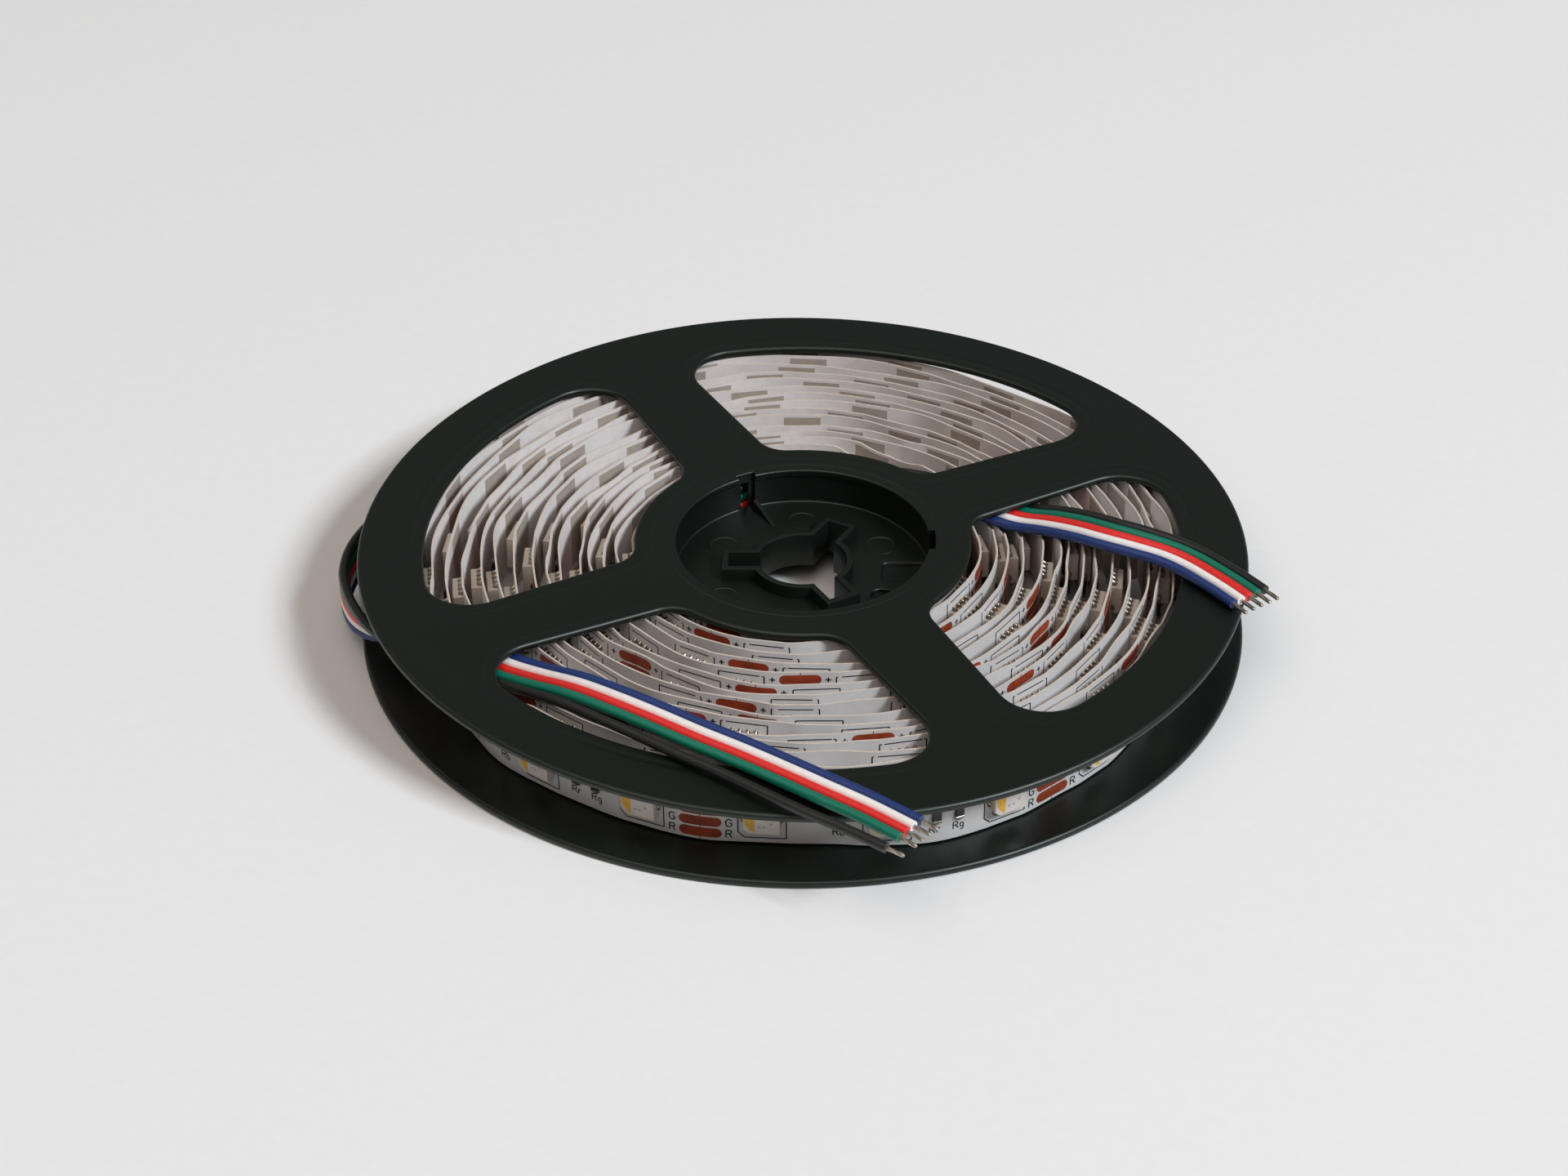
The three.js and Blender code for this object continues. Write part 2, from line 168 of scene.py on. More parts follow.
# How the film is drawn and settles between its neighbours, which only the looks have
GAP_POINTS = 14
FLAT_POINTS = 6
SETTLING_PASSES = 120
FIRST_PASSES = 30
FIRST_EASING = 0.1
LAST_EASING = 0.03
FILM_GAP = 0.06 * MM
INWARD_PLAY = 1.7 * MM
OUTWARD_PLAY = 1.5 * MM
INNER_TURN_PLAY = 0.15 * MM
SLOPE_BESIDE_WIRES = 0.8
RISE_WAVES = (0.041, 0.073)
LEAN_WAVES = (0.029, 0.053)
FILM_CORE = 0.15 * MM
# Band of painted shade on the film's back behind each LED, kept this far from the top and bottom edges
SHADOW_TOP = 0.5 * MM
SHADOW_BOTTOM = 0.9 * MM

# Middle line of each lead as x, y, z, tilt of its row of wires in degrees, and how far black has parted
OUTER_LEAD = [
    (-0.0502, 0.0296, 0.0065, 90, 0),
    (-0.0549, 0.0246, 0.0065, 90, 0),
    (-0.0599, 0.0182, 0.0065, 90, 0),
    (-0.0640, 0.0108, 0.0065, 90, 0),
    (-0.0667, 0.0034, 0.0065, 90, 0),
    (-0.0672, -0.0034, 0.0065, 90, 0),
    (-0.0656, -0.0094, 0.0067, 84, 0),
    (-0.0631, -0.0137, 0.0073, 66, 0),
    (-0.0604, -0.0172, 0.0085, 42, 0),
    (-0.0576, -0.0199, 0.0098, 18, 0),
    (-0.0544, -0.0221, 0.0106, 4, 0),
    (-0.0508, -0.0240, 0.0108, 0, 0),
    (-0.0474, -0.0261, 0.0108, 0, 0),
    (-0.0442, -0.0282, 0.0108, 0, 0),
    (-0.0414, -0.0301, 0.0108, 0, 0.0001),
    (-0.0372, -0.0335, 0.0118, 0, 0.0003),
    (-0.0316, -0.0379, 0.0133, 0, 0.0006),
    (-0.0258, -0.0422, 0.0139, 0, 0.0009),
    (-0.0202, -0.0461, 0.0140, 0, 0.0011),
    (-0.0147, -0.0500, 0.0140, 0, 0.0013),
    (-0.0091, -0.0537, 0.0140, 0, 0.0015),
    (-0.0036, -0.0576, 0.0140, 0, 0.0017),
    (0.0020, -0.0617, 0.0140, 0, 0.0018),
    (0.0076, -0.0658, 0.0140, 0, 0.0016),
    (0.0130, -0.0703, 0.0140, 0, 0.0012),
]
INNER_LEAD = [
    (-0.0188, 0.0100, 0.0065, 90, 0),
    (-0.0163, 0.0137, 0.0065, 90, 0),
    (-0.0131, 0.0168, 0.0065, 90, 0),
    (-0.0093, 0.0191, 0.0065, 90, 0),
    (-0.0052, 0.0207, 0.0065, 90, 0),
    (-0.0007, 0.0213, 0.0068, 90, 0),
    (0.0030, 0.0211, 0.0073, 90, 0),
    (0.0067, 0.0205, 0.0077, 82, 0),
    (0.0102, 0.0199, 0.0080, 66, 0),
    (0.0138, 0.0192, 0.0090, 36, 0),
    (0.0170, 0.0179, 0.0102, 10, 0),
    (0.0200, 0.0164, 0.0108, 0, 0),
    (0.0232, 0.0145, 0.0108, 0, 0),
    (0.0266, 0.0125, 0.0108, 0, 0),
    (0.0300, 0.0106, 0.0108, 0, 0),
    (0.0332, 0.0086, 0.0109, 0, 0),
    (0.0369, 0.0059, 0.0121, 3, 0),
    (0.0408, 0.0028, 0.0132, 4, 0),
    (0.0450, -0.0005, 0.0139, 3, 0),
    (0.0492, -0.0030, 0.0141, 2, 0),
    (0.0533, -0.0055, 0.0141, 0, 0),
    (0.0563, -0.0080, 0.0140, 0, 0),
    (0.0588, -0.0109, 0.0140, 0, 0),
    (0.0614, -0.0142, 0.0140, 0, 0),
    (0.0634, -0.0170, 0.0140, 0, 0),
]
# Side is +1 where black lies on the right of the lead's run; crossing gives its points over the roll
LEADS = {
    "outer": {"line": OUTER_LEAD, "side": 1, "crossing": (9, 17)},
    "inner": {"line": INNER_LEAD, "side": -1, "crossing": (8, 18)},
}
WIRE_PLACES = {"black": 2, "green": 1, "red": 0, "white": -1, "blue": -2}
WIRE_PITCH = 1.5 * MM
WIRE_CLEARANCE = 0.3 * MM
TINNED_RADIUS = 0.3 * MM
TINNED_LENGTH = 2.8 * MM
TINNED_OVERLAP = 0.4 * MM

# Camera of the photograph
FOCAL_LENGTH = 75.0
CAMERA_AIM = Vector((-0.002735, 0.005984, 0.0))
CAMERA_DISTANCE = 0.491128
CAMERA_ELEVATION = math.radians(34.288)
CAMERA_ROLL = math.radians(-0.088)


# Shared shapes


def circle(radius, sides, x=0.0, y=0.0):
    """Points of a level circle, counterclockwise."""
    return [
        (x + radius * math.cos(TURN * i / sides), y + radius * math.sin(TURN * i / sides))
        for i in range(sides)
    ]


def arc(x, y, radius, start, end, sides):
    """Points of a level arc, both ends included."""
    angles = [start + (end - start) * i / sides for i in range(sides + 1)]
    return [(x + radius * math.cos(a), y + radius * math.sin(a)) for a in angles]


def at_height(outline, z):
    """A level outline's points at one height."""
    return [(x, y, z) for x, y in outline]


def ring_faces(start, count, rings):
    """Faces that join closed rings of points, each ring to the next."""
    faces = []
    for k in range(rings - 1):
        for i in range(count):
            a, b = start + k * count + i, start + k * count + (i + 1) % count
            faces.append((a, b, b + count, a + count))
    return faces


class Shell:
    """Points, faces and material numbers of one piece while it is made, in metres."""

    def __init__(self):
        self.points = []
        self.faces = []
        self.kinds = []

    def add(self, points, faces, kinds=0):
        start = len(self.points)
        self.points.extend(tuple(float(c) for c in p) for p in points)
        self.faces.extend([start + i for i in face] for face in faces)
        self.kinds.extend([kinds] * len(faces) if isinstance(kinds, int) else kinds)

    def loft(self, rings):
        """Joins closed rings of equal counts, each to the next."""
        self.add([p for ring in rings for p in ring], ring_faces(0, len(rings[0]), len(rings)))

    def fill(self, loops):
        """Fills the first loop, apart from the holes that the others make."""
        triangles = tessellate_polygon([[Vector(p) for p in loop] for loop in loops])
        self.add([p for loop in loops for p in loop], triangles)

    def piece(self, name, materials, smooth_below=35, closed=True):
        """Makes the piece's object, riding on the reel's body."""
        mesh = bpy.data.meshes.new(name)
        mesh.from_pydata(self.points, [], self.faces)
        for material in materials:
            mesh.materials.append(material)
        mesh.polygons.foreach_set("material_index", self.kinds)
        if closed:
            work = bmesh.new()
            work.from_mesh(mesh)
            bmesh.ops.remove_doubles(work, verts=work.verts, dist=1e-7)
            bmesh.ops.recalc_face_normals(work, faces=work.faces)
            work.to_mesh(mesh)
            work.free()
        mesh.shade_smooth()
        mesh.set_sharp_from_angle(angle=math.radians(smooth_below))
        made = bpy.data.objects.new(name, mesh)
        bpy.context.scene.collection.objects.link(made)
        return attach(made, BODY)


# Materials


def linear(code):
    """Linear colour of an sRGB hex value such as 0xE6E2DC."""
    channels = [(code >> shift & 255) / 255 for shift in (16, 8, 0)]
    return [c / 12.92 if c <= 0.04045 else ((c + 0.055) / 1.055) ** 2.4 for c in channels] + [1.0]


def add_node(material, kind, inputs=None, **settings):
    """Adds one node. An input is a value, or the output socket that feeds it."""
    tree = material.node_tree
    made = tree.nodes.new(kind)
    for name, value in settings.items():
        setattr(made, name, value)
    for name, value in (inputs or {}).items():
        if isinstance(value, bpy.types.NodeSocket):
            tree.links.new(value, made.inputs[name])
        else:
            made.inputs[name].default_value = value
    return made


def surface(name, colour, roughness, grain, depth, tint=0.0, **sockets):
    """A surface whose colour and height vary at a grain size, given in metres."""
    found = bpy.data.materials.get(name)
    if found:
        return found
    material = bpy.data.materials.new(name)
    material.use_nodes = True
    material.node_tree.nodes.clear()
    place = add_node(material, "ShaderNodeTexCoord").outputs["Object"]
    texture = add_node(
        material,
        "ShaderNodeTexNoise",
        {"Vector": place, "Scale": 1 / grain, "Detail": 3.0, "Roughness": 0.6},
    ).outputs["Fac"]
    shade = add_node(
        material,
        "ShaderNodeMapRange",
        {"Value": texture, "From Min": 0.3, "From Max": 0.7, "To Min": 1 - tint, "To Max": 1 + tint},
    ).outputs["Result"]
    base = add_node(
        material,
        "ShaderNodeVectorMath",
        {0: linear(colour)[:3], "Scale": shade},
        operation="SCALE",
    ).outputs["Vector"]
    bump = add_node(
        material, "ShaderNodeBump", {"Height": texture, "Distance": depth, "Strength": 1.0}
    ).outputs["Normal"]
    shader = add_node(
        material,
        "ShaderNodeBsdfPrincipled",
        {"Base Color": base, "Normal": bump, "Roughness": roughness, **sockets},
    ).outputs["BSDF"]
    add_node(material, "ShaderNodeOutputMaterial", {"Surface": shader})
    material.diffuse_color = linear(colour)
    return material


def moulded_abs(settings):
    """ABS from a spark-eroded mould: nearly black, a little green, with a soft sheen and a matte grain."""
    colour = hex_of(settings.abs_colour)
    sheen = {"IOR": 1.53, "Specular Tint": (0.92, 1.0, 0.94, 1.0)}
    return surface("moulded_black_abs", colour, 0.42, 0.35 * MM, 0.012 * MM, 0.08, **sheen)


def solder_mask():
    """White solder mask on polyimide film: clean white with a slight satin gloss."""
    return surface("white_solder_mask", 0xD0CDCB, 0.38, 2.4 * MM, 0.02 * MM, 0.035, **{"IOR": 1.5})


def film_back():
    """Adhesive side of the film under its paper liner: white, flatter and a little warmer."""
    return surface("liner_paper", 0xDFD8D4, 0.6, 1.6 * MM, 0.02 * MM, 0.05)


def film_back_over_pads_with_shade():
    """Film with an LED's copper pads behind it: grey brown copper seen through it, darkened as painted shade
    where no light comes through.
    """
    return surface("film_over_copper", 0xA89C91, 0.55, 1.2 * MM, 0.02 * MM, 0.06)


def film_edge():
    """Cut edge of the polyimide core: a thin pale tan line between the white layers."""
    return surface("cut_polyimide_edge", 0xC2AE98, 0.55, 0.8 * MM, 0.01 * MM, 0.15)


def housing():
    """Moulded PPA body of the LED: beige white and matte."""
    return surface("moulded_ppa", 0xCDC2B6, 0.5, 0.8 * MM, 0.008 * MM, 0.05)


def clear_resin():
    """Frosted silicone over the colour chips: milky, a little pink, with a wet gloss."""
    return surface("frosted_silicone", 0xD3C8C2, 0.25, 0.7 * MM, 0.006 * MM, 0.06, **{"Coat Weight": 0.3})


def phosphor():
    """Silicone loaded with yellow phosphor over the white chip."""
    return surface("phosphor_silicone", 0xD2A33C, 0.4, 0.4 * MM, 0.008 * MM, 0.12)


def colour_chip():
    """A colour chip dimly seen through the silicone: bluish grey."""
    return surface("chip_under_silicone", 0xA8A3A6, 0.3, 0.3 * MM, 0.004 * MM, 0.1)


def solder():
    """Reflowed tin solder: silver that mirrors the dark reel, with a few bright facets."""
    return surface("reflowed_tin_solder", 0x9C948B, 0.28, 0.35 * MM, 0.03 * MM, 0.2, Metallic=1.0)


def bare_copper():
    """Bare copper pads under flux and air: red brown to dark brown, nearly matte."""
    return surface("oxidised_copper", 0x983F24, 0.42, 3.5 * MM, 0.01 * MM, 0.4, Metallic=0.15)


def print_ink():
    """Screen-printed epoxy ink: flat black."""
    return surface("screen_print_ink", 0x1C1B1B, 0.5, 0.6 * MM, 0.004 * MM, 0.1)


def chip_body():
    """Glazed thick-film resistor: black glass over its element."""
    return surface("glazed_resistor", 0x201F1E, 0.25, 0.5 * MM, 0.006 * MM, 0.1)


def insulation(name, colour):
    """Extruded PVC: an even colour with a soft sheen and a very faint grain."""
    return surface(f"{name}_extruded_pvc", colour, 0.4, 0.9 * MM, 0.004 * MM, 0.05, **{"IOR": 1.54})


def tinned_copper():
    """Copper strands dipped in tin: silver grey with dull and bright patches."""
    return surface("tinned_copper_strands", 0xB4ACA2, 0.3, 0.5 * MM, 0.02 * MM, 0.25, Metallic=1.0)


def hex_of(colour):
    """Hex code of a property's sRGB colour."""
    red, green, blue = (round(c * 255) for c in colour[:3])
    return red << 16 | green << 8 | blue


# Reel halves


def window_outline(index, margin):
    """Outline of one window, grown by a margin, between two spokes."""
    half = math.pi / SPOKE_COUNT
    middle = FIRST_SPOKE_AZIMUTH + half + index * 2 * half
    outer_radius = REEL_RADIUS - RIM_WIDTH + margin
    inner_radius = HUB_RADIUS + HUB_RING_WIDTH - margin
    outer_fillet = WINDOW_OUTER_FILLET + margin
    inner_fillet = WINDOW_INNER_FILLET + margin
    edge = half + SPOKE_TAPER
    edge_distance = SPOKE_ROOT_WIDTH / 2 * math.cos(SPOKE_TAPER) - margin
    outer_centre = outer_radius - outer_fillet
    inner_centre = inner_radius + inner_fillet
    outer = edge - math.asin((edge_distance + outer_fillet) / outer_centre)
    inner = edge - math.asin((edge_distance + inner_fillet) / inner_centre)
    square = edge + math.pi / 2

    def fillet(distance, angle, radius, start, end):
        x = distance * math.cos(middle + angle)
        y = distance * math.sin(middle + angle)
        return arc(x, y, radius, middle + start, middle + end, 14)

    return [
        *arc(0, 0, outer_radius, middle - outer, middle + outer, 40)[:-1],
        *fillet(outer_centre, outer, outer_fillet, outer, square),
        *fillet(inner_centre, inner, inner_fillet, square, inner + math.pi),
        *arc(0, 0, inner_radius, middle + inner, middle - inner, 14)[1:-1],
        *fillet(inner_centre, -inner, inner_fillet, math.pi - inner, TURN - square),
        *fillet(outer_centre, -outer, outer_fillet, -square, -outer)[:-1],
    ]


def keyed_outline(margin):
    """Bore with its keyways, grown by a margin."""
    radius = BORE_RADIUS + margin
    half = KEYWAY_WIDTH / 2 + margin
    mouth = math.asin(half / radius)
    pitch = TURN / KEYWAY_COUNT
    points = []
    for i in range(KEYWAY_COUNT):
        azimuth = math.pi + i * pitch
        along = Vector((math.cos(azimuth), math.sin(azimuth)))
        across = Vector((-along.y, along.x))
        points.extend(tuple(along * (radius + KEYWAY_DEPTH) + across * side) for side in (-half, half))
        points.extend(arc(0, 0, radius, azimuth + mouth, azimuth + pitch - mouth, 18))
    return points


def edge_profile(rounding, groove, groove_depth):
    """Margin and height of each ring round an opening, from the flange's underside to its upper face."""
    half = FLANGE_THICKNESS / 2
    level = half - rounding
    rings = [(rounding + UNDERSIDE_STEP, -half), (rounding + FACE_STEP, -half)]
    for i in range(EDGE_STEPS + 1):
        angle = -math.pi / 2 + math.pi * i / EDGE_STEPS
        height = math.copysign(level, angle) + rounding * math.sin(angle)
        rings.append((rounding * (1 - math.cos(angle)), height))
    rings.append((rounding + FACE_STEP, half))
    start, end = groove
    for i in range(EDGE_STEPS + 1):
        share = i / EDGE_STEPS
        dip = groove_depth * math.sin(math.pi * share) ** 2
        rings.append((start + (end - start) * share, half - dip))
    rings.append((end + FACE_STEP, half))
    return rings


def hub_opening(margin):
    """Hub's opening, grown by a margin, with notches where the wire channel and the trench meet it."""
    radius = HUB_RADIUS - EDGE_LIP + margin
    notch = max(radius, HUB_RADIUS + WIRE_POCKET_DEPTH + 0.25 * margin)
    trench_half = TRENCH_WIDTH / 2 / HUB_RADIUS
    channel_half = WIRE_POCKET_WIDTH / 2 / HUB_RADIUS
    gap = 0.001
    notches = (
        (TRENCH_AZIMUTH, trench_half),
        (WIRE_SLOT_AZIMUTH, channel_half),
        (TRENCH_AZIMUTH + TURN, trench_half),
    )
    points = []
    for (azimuth, half), (after, after_half) in zip(notches, notches[1:]):
        points.extend(arc(0, 0, notch, azimuth - half, azimuth + half, 8))
        points.extend(arc(0, 0, radius, azimuth + half + gap, after - after_half - gap, 60))
    return points


def flange(shell, settings):
    """The flange: its rim, windows with a soft groove beside each, and the hub's opening with its seam."""
    middle = REEL_TOP - FLANGE_THICKNESS / 2
    profile = edge_profile(settings.edge_rounding, (GROOVE_START, GROOVE_END), settings.groove_depth)
    seam = tuple(SEAM_RADIUS + side * SEAM_WIDTH / 2 - HUB_RADIUS + EDGE_LIP for side in (-1, 1))
    hub_profile = edge_profile(HUB_EDGE_ROUNDING, seam, SEAM_DEPTH)
    rim_profile = edge_profile(settings.edge_rounding, (GROOVE_START, RIM_FLAT), 0.0)
    outlines = [(lambda m: circle(REEL_RADIUS - m, 200), rim_profile)]
    for i in range(SPOKE_COUNT):
        outlines.append((lambda m, i=i: window_outline(i, m - EDGE_LIP), profile))
    outlines.append((hub_opening, hub_profile))
    lower, upper = [], []
    for outline, rings in outlines:
        loops = [at_height(outline(margin), middle + z) for margin, z in rings]
        shell.loft(loops)
        lower.append(loops[0])
        upper.append(loops[-1])
    shell.fill(lower)
    shell.fill(upper)


def sector(shell, inner, outer, start, end, low, high, sides=120):
    """A closed ring sector of the hub's wall."""
    outline = arc(0, 0, outer, start, end, sides) + arc(0, 0, inner, end, start, sides)
    bottom, top = at_height(outline, low), at_height(outline, high)
    shell.loft([bottom, top])
    count = len(outline)
    for ring in (bottom, top):
        faces = [(i, i + 1, count - 2 - i, count - 1 - i) for i in range(sides)]
        shell.add(ring, faces)


def hub_wall(shell, floor):
    """The hub's wall with its wire slot and the notch for the trench, and the fillet at its foot."""
    underside = REEL_TOP - FLANGE_THICKNESS
    slot_top = underside - WIRE_SLOT_LIP
    outer = HUB_RADIUS + HUB_WALL_THICKNESS
    pocket = HUB_RADIUS + WIRE_POCKET_DEPTH
    slot_half = WIRE_SLOT_WIDTH / 2 / HUB_RADIUS
    pocket_half = WIRE_POCKET_WIDTH / 2 / HUB_RADIUS
    trench_half = TRENCH_WIDTH / 2 / HUB_RADIUS
    wall_top = underside + FLANGE_THICKNESS / 2
    around = (WIRE_SLOT_AZIMUTH + slot_half, WIRE_SLOT_AZIMUTH - slot_half + TURN)
    sector(shell, pocket, outer, *around, MIDDLE, slot_top)
    sector(shell, pocket, outer, 0, TURN, slot_top, wall_top)
    past_channel = (WIRE_SLOT_AZIMUTH + pocket_half, TRENCH_AZIMUTH - trench_half + TURN)
    past_trench = (TRENCH_AZIMUTH + trench_half, WIRE_SLOT_AZIMUTH - pocket_half)
    bend = [
        (HUB_RADIUS - FLOOR_FILLET * (1 - math.sin(a)), floor + FLOOR_FILLET * (1 - math.cos(a)))
        for a in (math.pi / 2 * i / 6 for i in range(7))
    ]
    fillet = [(HUB_RADIUS, floor), *bend]
    for start, end in (past_channel, past_trench):
        sector(shell, HUB_RADIUS, pocket, start, end, MIDDLE, wall_top, 80)
        azimuths = [start + (end - start) * i / 80 for i in range(81)]
        rings = [[(r * math.cos(a), r * math.sin(a), z) for r, z in fillet] for a in azimuths]
        shell.loft(rings)
        shell.fill([rings[0]])
        shell.fill([rings[-1]])


def trench_outline(margin):
    """Outline of the sunk trench for the wires, grown by a margin."""
    turn = Matrix.Rotation(TRENCH_AZIMUTH, 2)
    half = TRENCH_WIDTH / 2 - TRENCH_CORNER
    near, far = TRENCH_START + TRENCH_CORNER, TRENCH_END - TRENCH_CORNER
    return [
        tuple(turn @ Vector(p))
        for k, (x, y) in enumerate(((far, half), (near, half), (near, -half), (far, -half)))
        for p in arc(x, y, TRENCH_CORNER + margin, k * math.pi / 2, (k + 1) * math.pi / 2, 6)
    ]


def mark_place(index):
    """Middle of one ejector mark."""
    azimuth = TURN * (index + 0.5) / MARK_COUNT
    return MARK_CIRCLE_RADIUS * math.cos(azimuth), MARK_CIRCLE_RADIUS * math.sin(azimuth)


def hub_floor(shell, floor):
    """Floor with the trench and the sunk ejector mark, and the keyed bore with its raised rim."""
    pit = circle(SUNK_MARK_RINGS[-1][0] * MARK_RADIUS, MARK_SIDES, *mark_place(SUNK_MARK))
    pit_top, pit_bottom = at_height(pit, floor), at_height(pit, floor - SUNK_MARK_DEPTH)
    steps = ((TRENCH_LIP, 0), (0.4 * TRENCH_LIP, 0.05 * MM), (0, 0.2 * MM), (-0.1 * MM, TRENCH_DEPTH))
    sunk = [at_height(trench_outline(margin), floor - depth) for margin, depth in steps]
    outer = at_height(circle(HUB_RADIUS + FLOOR_OVERLAP, 120), floor)
    shell.fill([outer, at_height(keyed_outline(BORE_RIM_THICKNESS), floor), sunk[0], pit_top])
    shell.loft([pit_top, pit_bottom])
    shell.fill([pit_bottom])
    shell.loft(sunk)
    shell.fill([sunk[-1]])
    rim, wide, top = BORE_RIM_ROUNDING, BORE_RIM_THICKNESS, floor + BORE_RIM_HEIGHT
    profile = (
        (0, MIDDLE),
        (0, top - rim),
        (0.3 * rim, top - 0.3 * rim),
        (rim, top),
        (wide - rim, top),
        (wide - 0.3 * rim, top - 0.3 * rim),
        (wide, top - rim),
        (wide, floor),
    )
    shell.loft([at_height(keyed_outline(margin), z) for margin, z in profile])


def ejector_marks(shell, floor):
    """Round marks of the mould's ejector pins, one of them sunk."""
    for i in range(MARK_COUNT):
        steps = SUNK_MARK_RINGS if i == SUNK_MARK else MARK_RINGS
        rings = [
            at_height(circle(MARK_RADIUS * share, MARK_SIDES, *mark_place(i)), floor + up * MM)
            for share, up in steps
        ]
        shell.loft(rings)
        if i != SUNK_MARK:
            shell.fill([rings[-1]])


def wire_ramp(shell, floor):
    """The thin rib that leads the wires down from their slot."""
    start, end = Vector(RIB_START), Vector(RIB_END)
    along = (end - start).normalized()
    across = Vector((-along.y, along.x)) * RIB_WIDTH / 2
    knee_share, knee_height = RIB_KNEE
    sides = []
    for side in (-1, 1):
        foot, tip = start + across * side, end + across * side
        knee = foot.lerp(tip, knee_share)
        sides.append(
            [
                (foot.x, foot.y, floor),
                (foot.x, foot.y, floor + RIB_HEIGHT),
                (knee.x, knee.y, floor + knee_height * RIB_HEIGHT),
                (tip.x, tip.y, floor),
            ]
        )
    shell.loft(sides)
    shell.fill([sides[0]])
    shell.fill([sides[1]])


def bowed(point):
    """Bends the upper rim: low at the front right and the right, high at the front left and the back."""
    x, y, z = point
    share = min(max((math.hypot(x, y) - RIM_BOW_START) / (REEL_RADIUS - RIM_BOW_START), 0.0), 1.0)
    rise = 0.0
    for azimuth, reach, height in RIM_BOWS:
        away = abs((math.atan2(y, x) - azimuth + math.pi) % TURN - math.pi) / reach
        rise += height * math.cos(math.pi / 2 * min(away, 1)) ** 2
    return x, y, z + rise * share**2 * (3 - 2 * share)


class HalvesOperator(bpy.types.Operator):
    """Makes both moulded halves of the reel; the lower one is the upper one turned over"""

    bl_idname = "led_reel.halves"
    bl_label = "Reel halves"

    def execute(self, context):
        settings = context.scene.led_reel_halves
        shell = Shell()
        flange(shell, settings)
        for part in (hub_wall, hub_floor, ejector_marks, wire_ramp):
            part(shell, MIDDLE + FLOOR_HEIGHT)
        black = moulded_abs(settings)
        flat = shell.points
        shell.points = [bowed(point) for point in flat]
        upper = shell.piece("upper_half_moulding", [black])
        shell.points = [(x, y, 2 * MIDDLE - z) for x, y, z in flat]
        lower = shell.piece("lower_half_moulding", [black])
        for half, node in ((upper, "upper_reel_half"), (lower, "lower_reel_half")):
            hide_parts(node)
        return {"FINISHED"}


# Leads


def spline(points, steps):
    """Centripetal Catmull-Rom curve through the points, as the part's source draws it."""
    points = np.asarray(points, float)
    ends = [2 * points[0] - points[1], 2 * points[-1] - points[-2]]
    padded = np.vstack([ends[:1], points, ends[1:]])
    curve = []
    for before, start, end, after in zip(padded, padded[1:], padded[2:], padded[3:]):
        gaps = [math.sqrt(np.linalg.norm(b - a)) for a, b in ((before, start), (start, end), (end, after))]
        leave = (start - before) / gaps[0] - (end - before) / (gaps[0] + gaps[1]) + (end - start) / gaps[1]
        reach = (end - start) / gaps[1] - (after - start) / (gaps[1] + gaps[2]) + (after - end) / gaps[2]
        for i in range(steps):
            t = i / steps
            curve.append(
                (2 * t**3 - 3 * t**2 + 1) * start
                + (t**3 - 2 * t**2 + t) * leave * gaps[1]
                + (3 * t**2 - 2 * t**3) * end
                + (t**3 - t**2) * reach * gaps[1]
            )
    return np.array([*curve, points[-1]])


def wire_points(lead, place):
    """Centre points of one wire of a lead."""
    line, side = lead["line"], lead["side"]
    points = []
    for i, (x, y, z, tilt, parting) in enumerate(line):
        before, after = line[max(i - 1, 0)], line[min(i + 1, len(line) - 1)]
        run = Vector((after[0] - before[0], after[1] - before[1])).normalized()
        offset = place * WIRE_PITCH + (parting if place == WIRE_PLACES["black"] else 0)
        level = offset * math.cos(math.radians(tilt)) * side
        points.append((x + run.y * level, y - run.x * level, z + offset * math.sin(math.radians(tilt))))
    return points


def strand_bundle(start, along, radius, length):
    """Seven tinned strands laid in a twist, as one lobed bundle with a slightly melted tip."""
    shell = Shell()
    sides, rings, strands = 42, 14, 7
    lobe_height, core_share, twist = 0.09, 0.92, 1.6
    melt_start, melt_length, melt = 0.93, 0.07, 0.7
    lift = along.to_track_quat("Z", "Y")
    loops = []
    for k in range(rings + 1):
        share = k / rings
        taper = math.sqrt(max(0.0, 1 - max(0.0, (share - melt_start) / melt_length) ** 2 * melt))
        loop = []
        for i in range(sides):
            angle = TURN * i / sides
            reach = radius * core_share * (1 + lobe_height * math.cos(strands * angle)) * taper
            spun = angle + twist * share
            point = Vector((reach * math.cos(spun), reach * math.sin(spun), share * length))
            loop.append(tuple(start + lift @ point))
        loops.append(loop)
    shell.loft(loops)
    shell.fill([loops[-1]])
    shell.fill([loops[0]])
    return shell


class LeadsOperator(bpy.types.Operator):
    """Makes the ten wires of the two ribbon leads and their tinned ends"""

    bl_idname = "led_reel.leads"
    bl_label = "Leads"

    def execute(self, context):
        settings = context.scene.led_reel_leads
        tin = tinned_copper()
        for lead_name, lead in LEADS.items():
            for colour, place in WIRE_PLACES.items():
                name = f"{lead_name}_lead_{colour}"
                points = spline(wire_points(lead, place), 5)
                curve = bpy.data.curves.new(f"{name}_insulation", "CURVE")
                curve.dimensions = "3D"
                curve.bevel_depth = settings.wire_diameter / 2
                curve.bevel_resolution = 4
                curve.use_fill_caps = True
                line = curve.splines.new("POLY")
                line.points.add(len(points) - 1)
                line.points.foreach_set("co", np.c_[points, np.ones(len(points))].ravel())
                line.use_smooth = True
                curve.materials.append(insulation(colour, hex_of(getattr(settings, colour))))
                wire = bpy.data.objects.new(f"{name}_insulation", curve)
                context.scene.collection.objects.link(wire)
                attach(wire, BODY)
                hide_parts(f"{name}_wire")

                end = Vector(points[-1])
                along = (end - Vector(points[-2])).normalized()
                length = TINNED_LENGTH + TINNED_OVERLAP
                bundle = strand_bundle(end - along * TINNED_OVERLAP, along, TINNED_RADIUS, length)
                tip = bundle.piece(f"{name}_strands", [tin], smooth_below=60)
                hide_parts(f"{name}_tinned_end")
        return {"FINISHED"}


# Wound strip


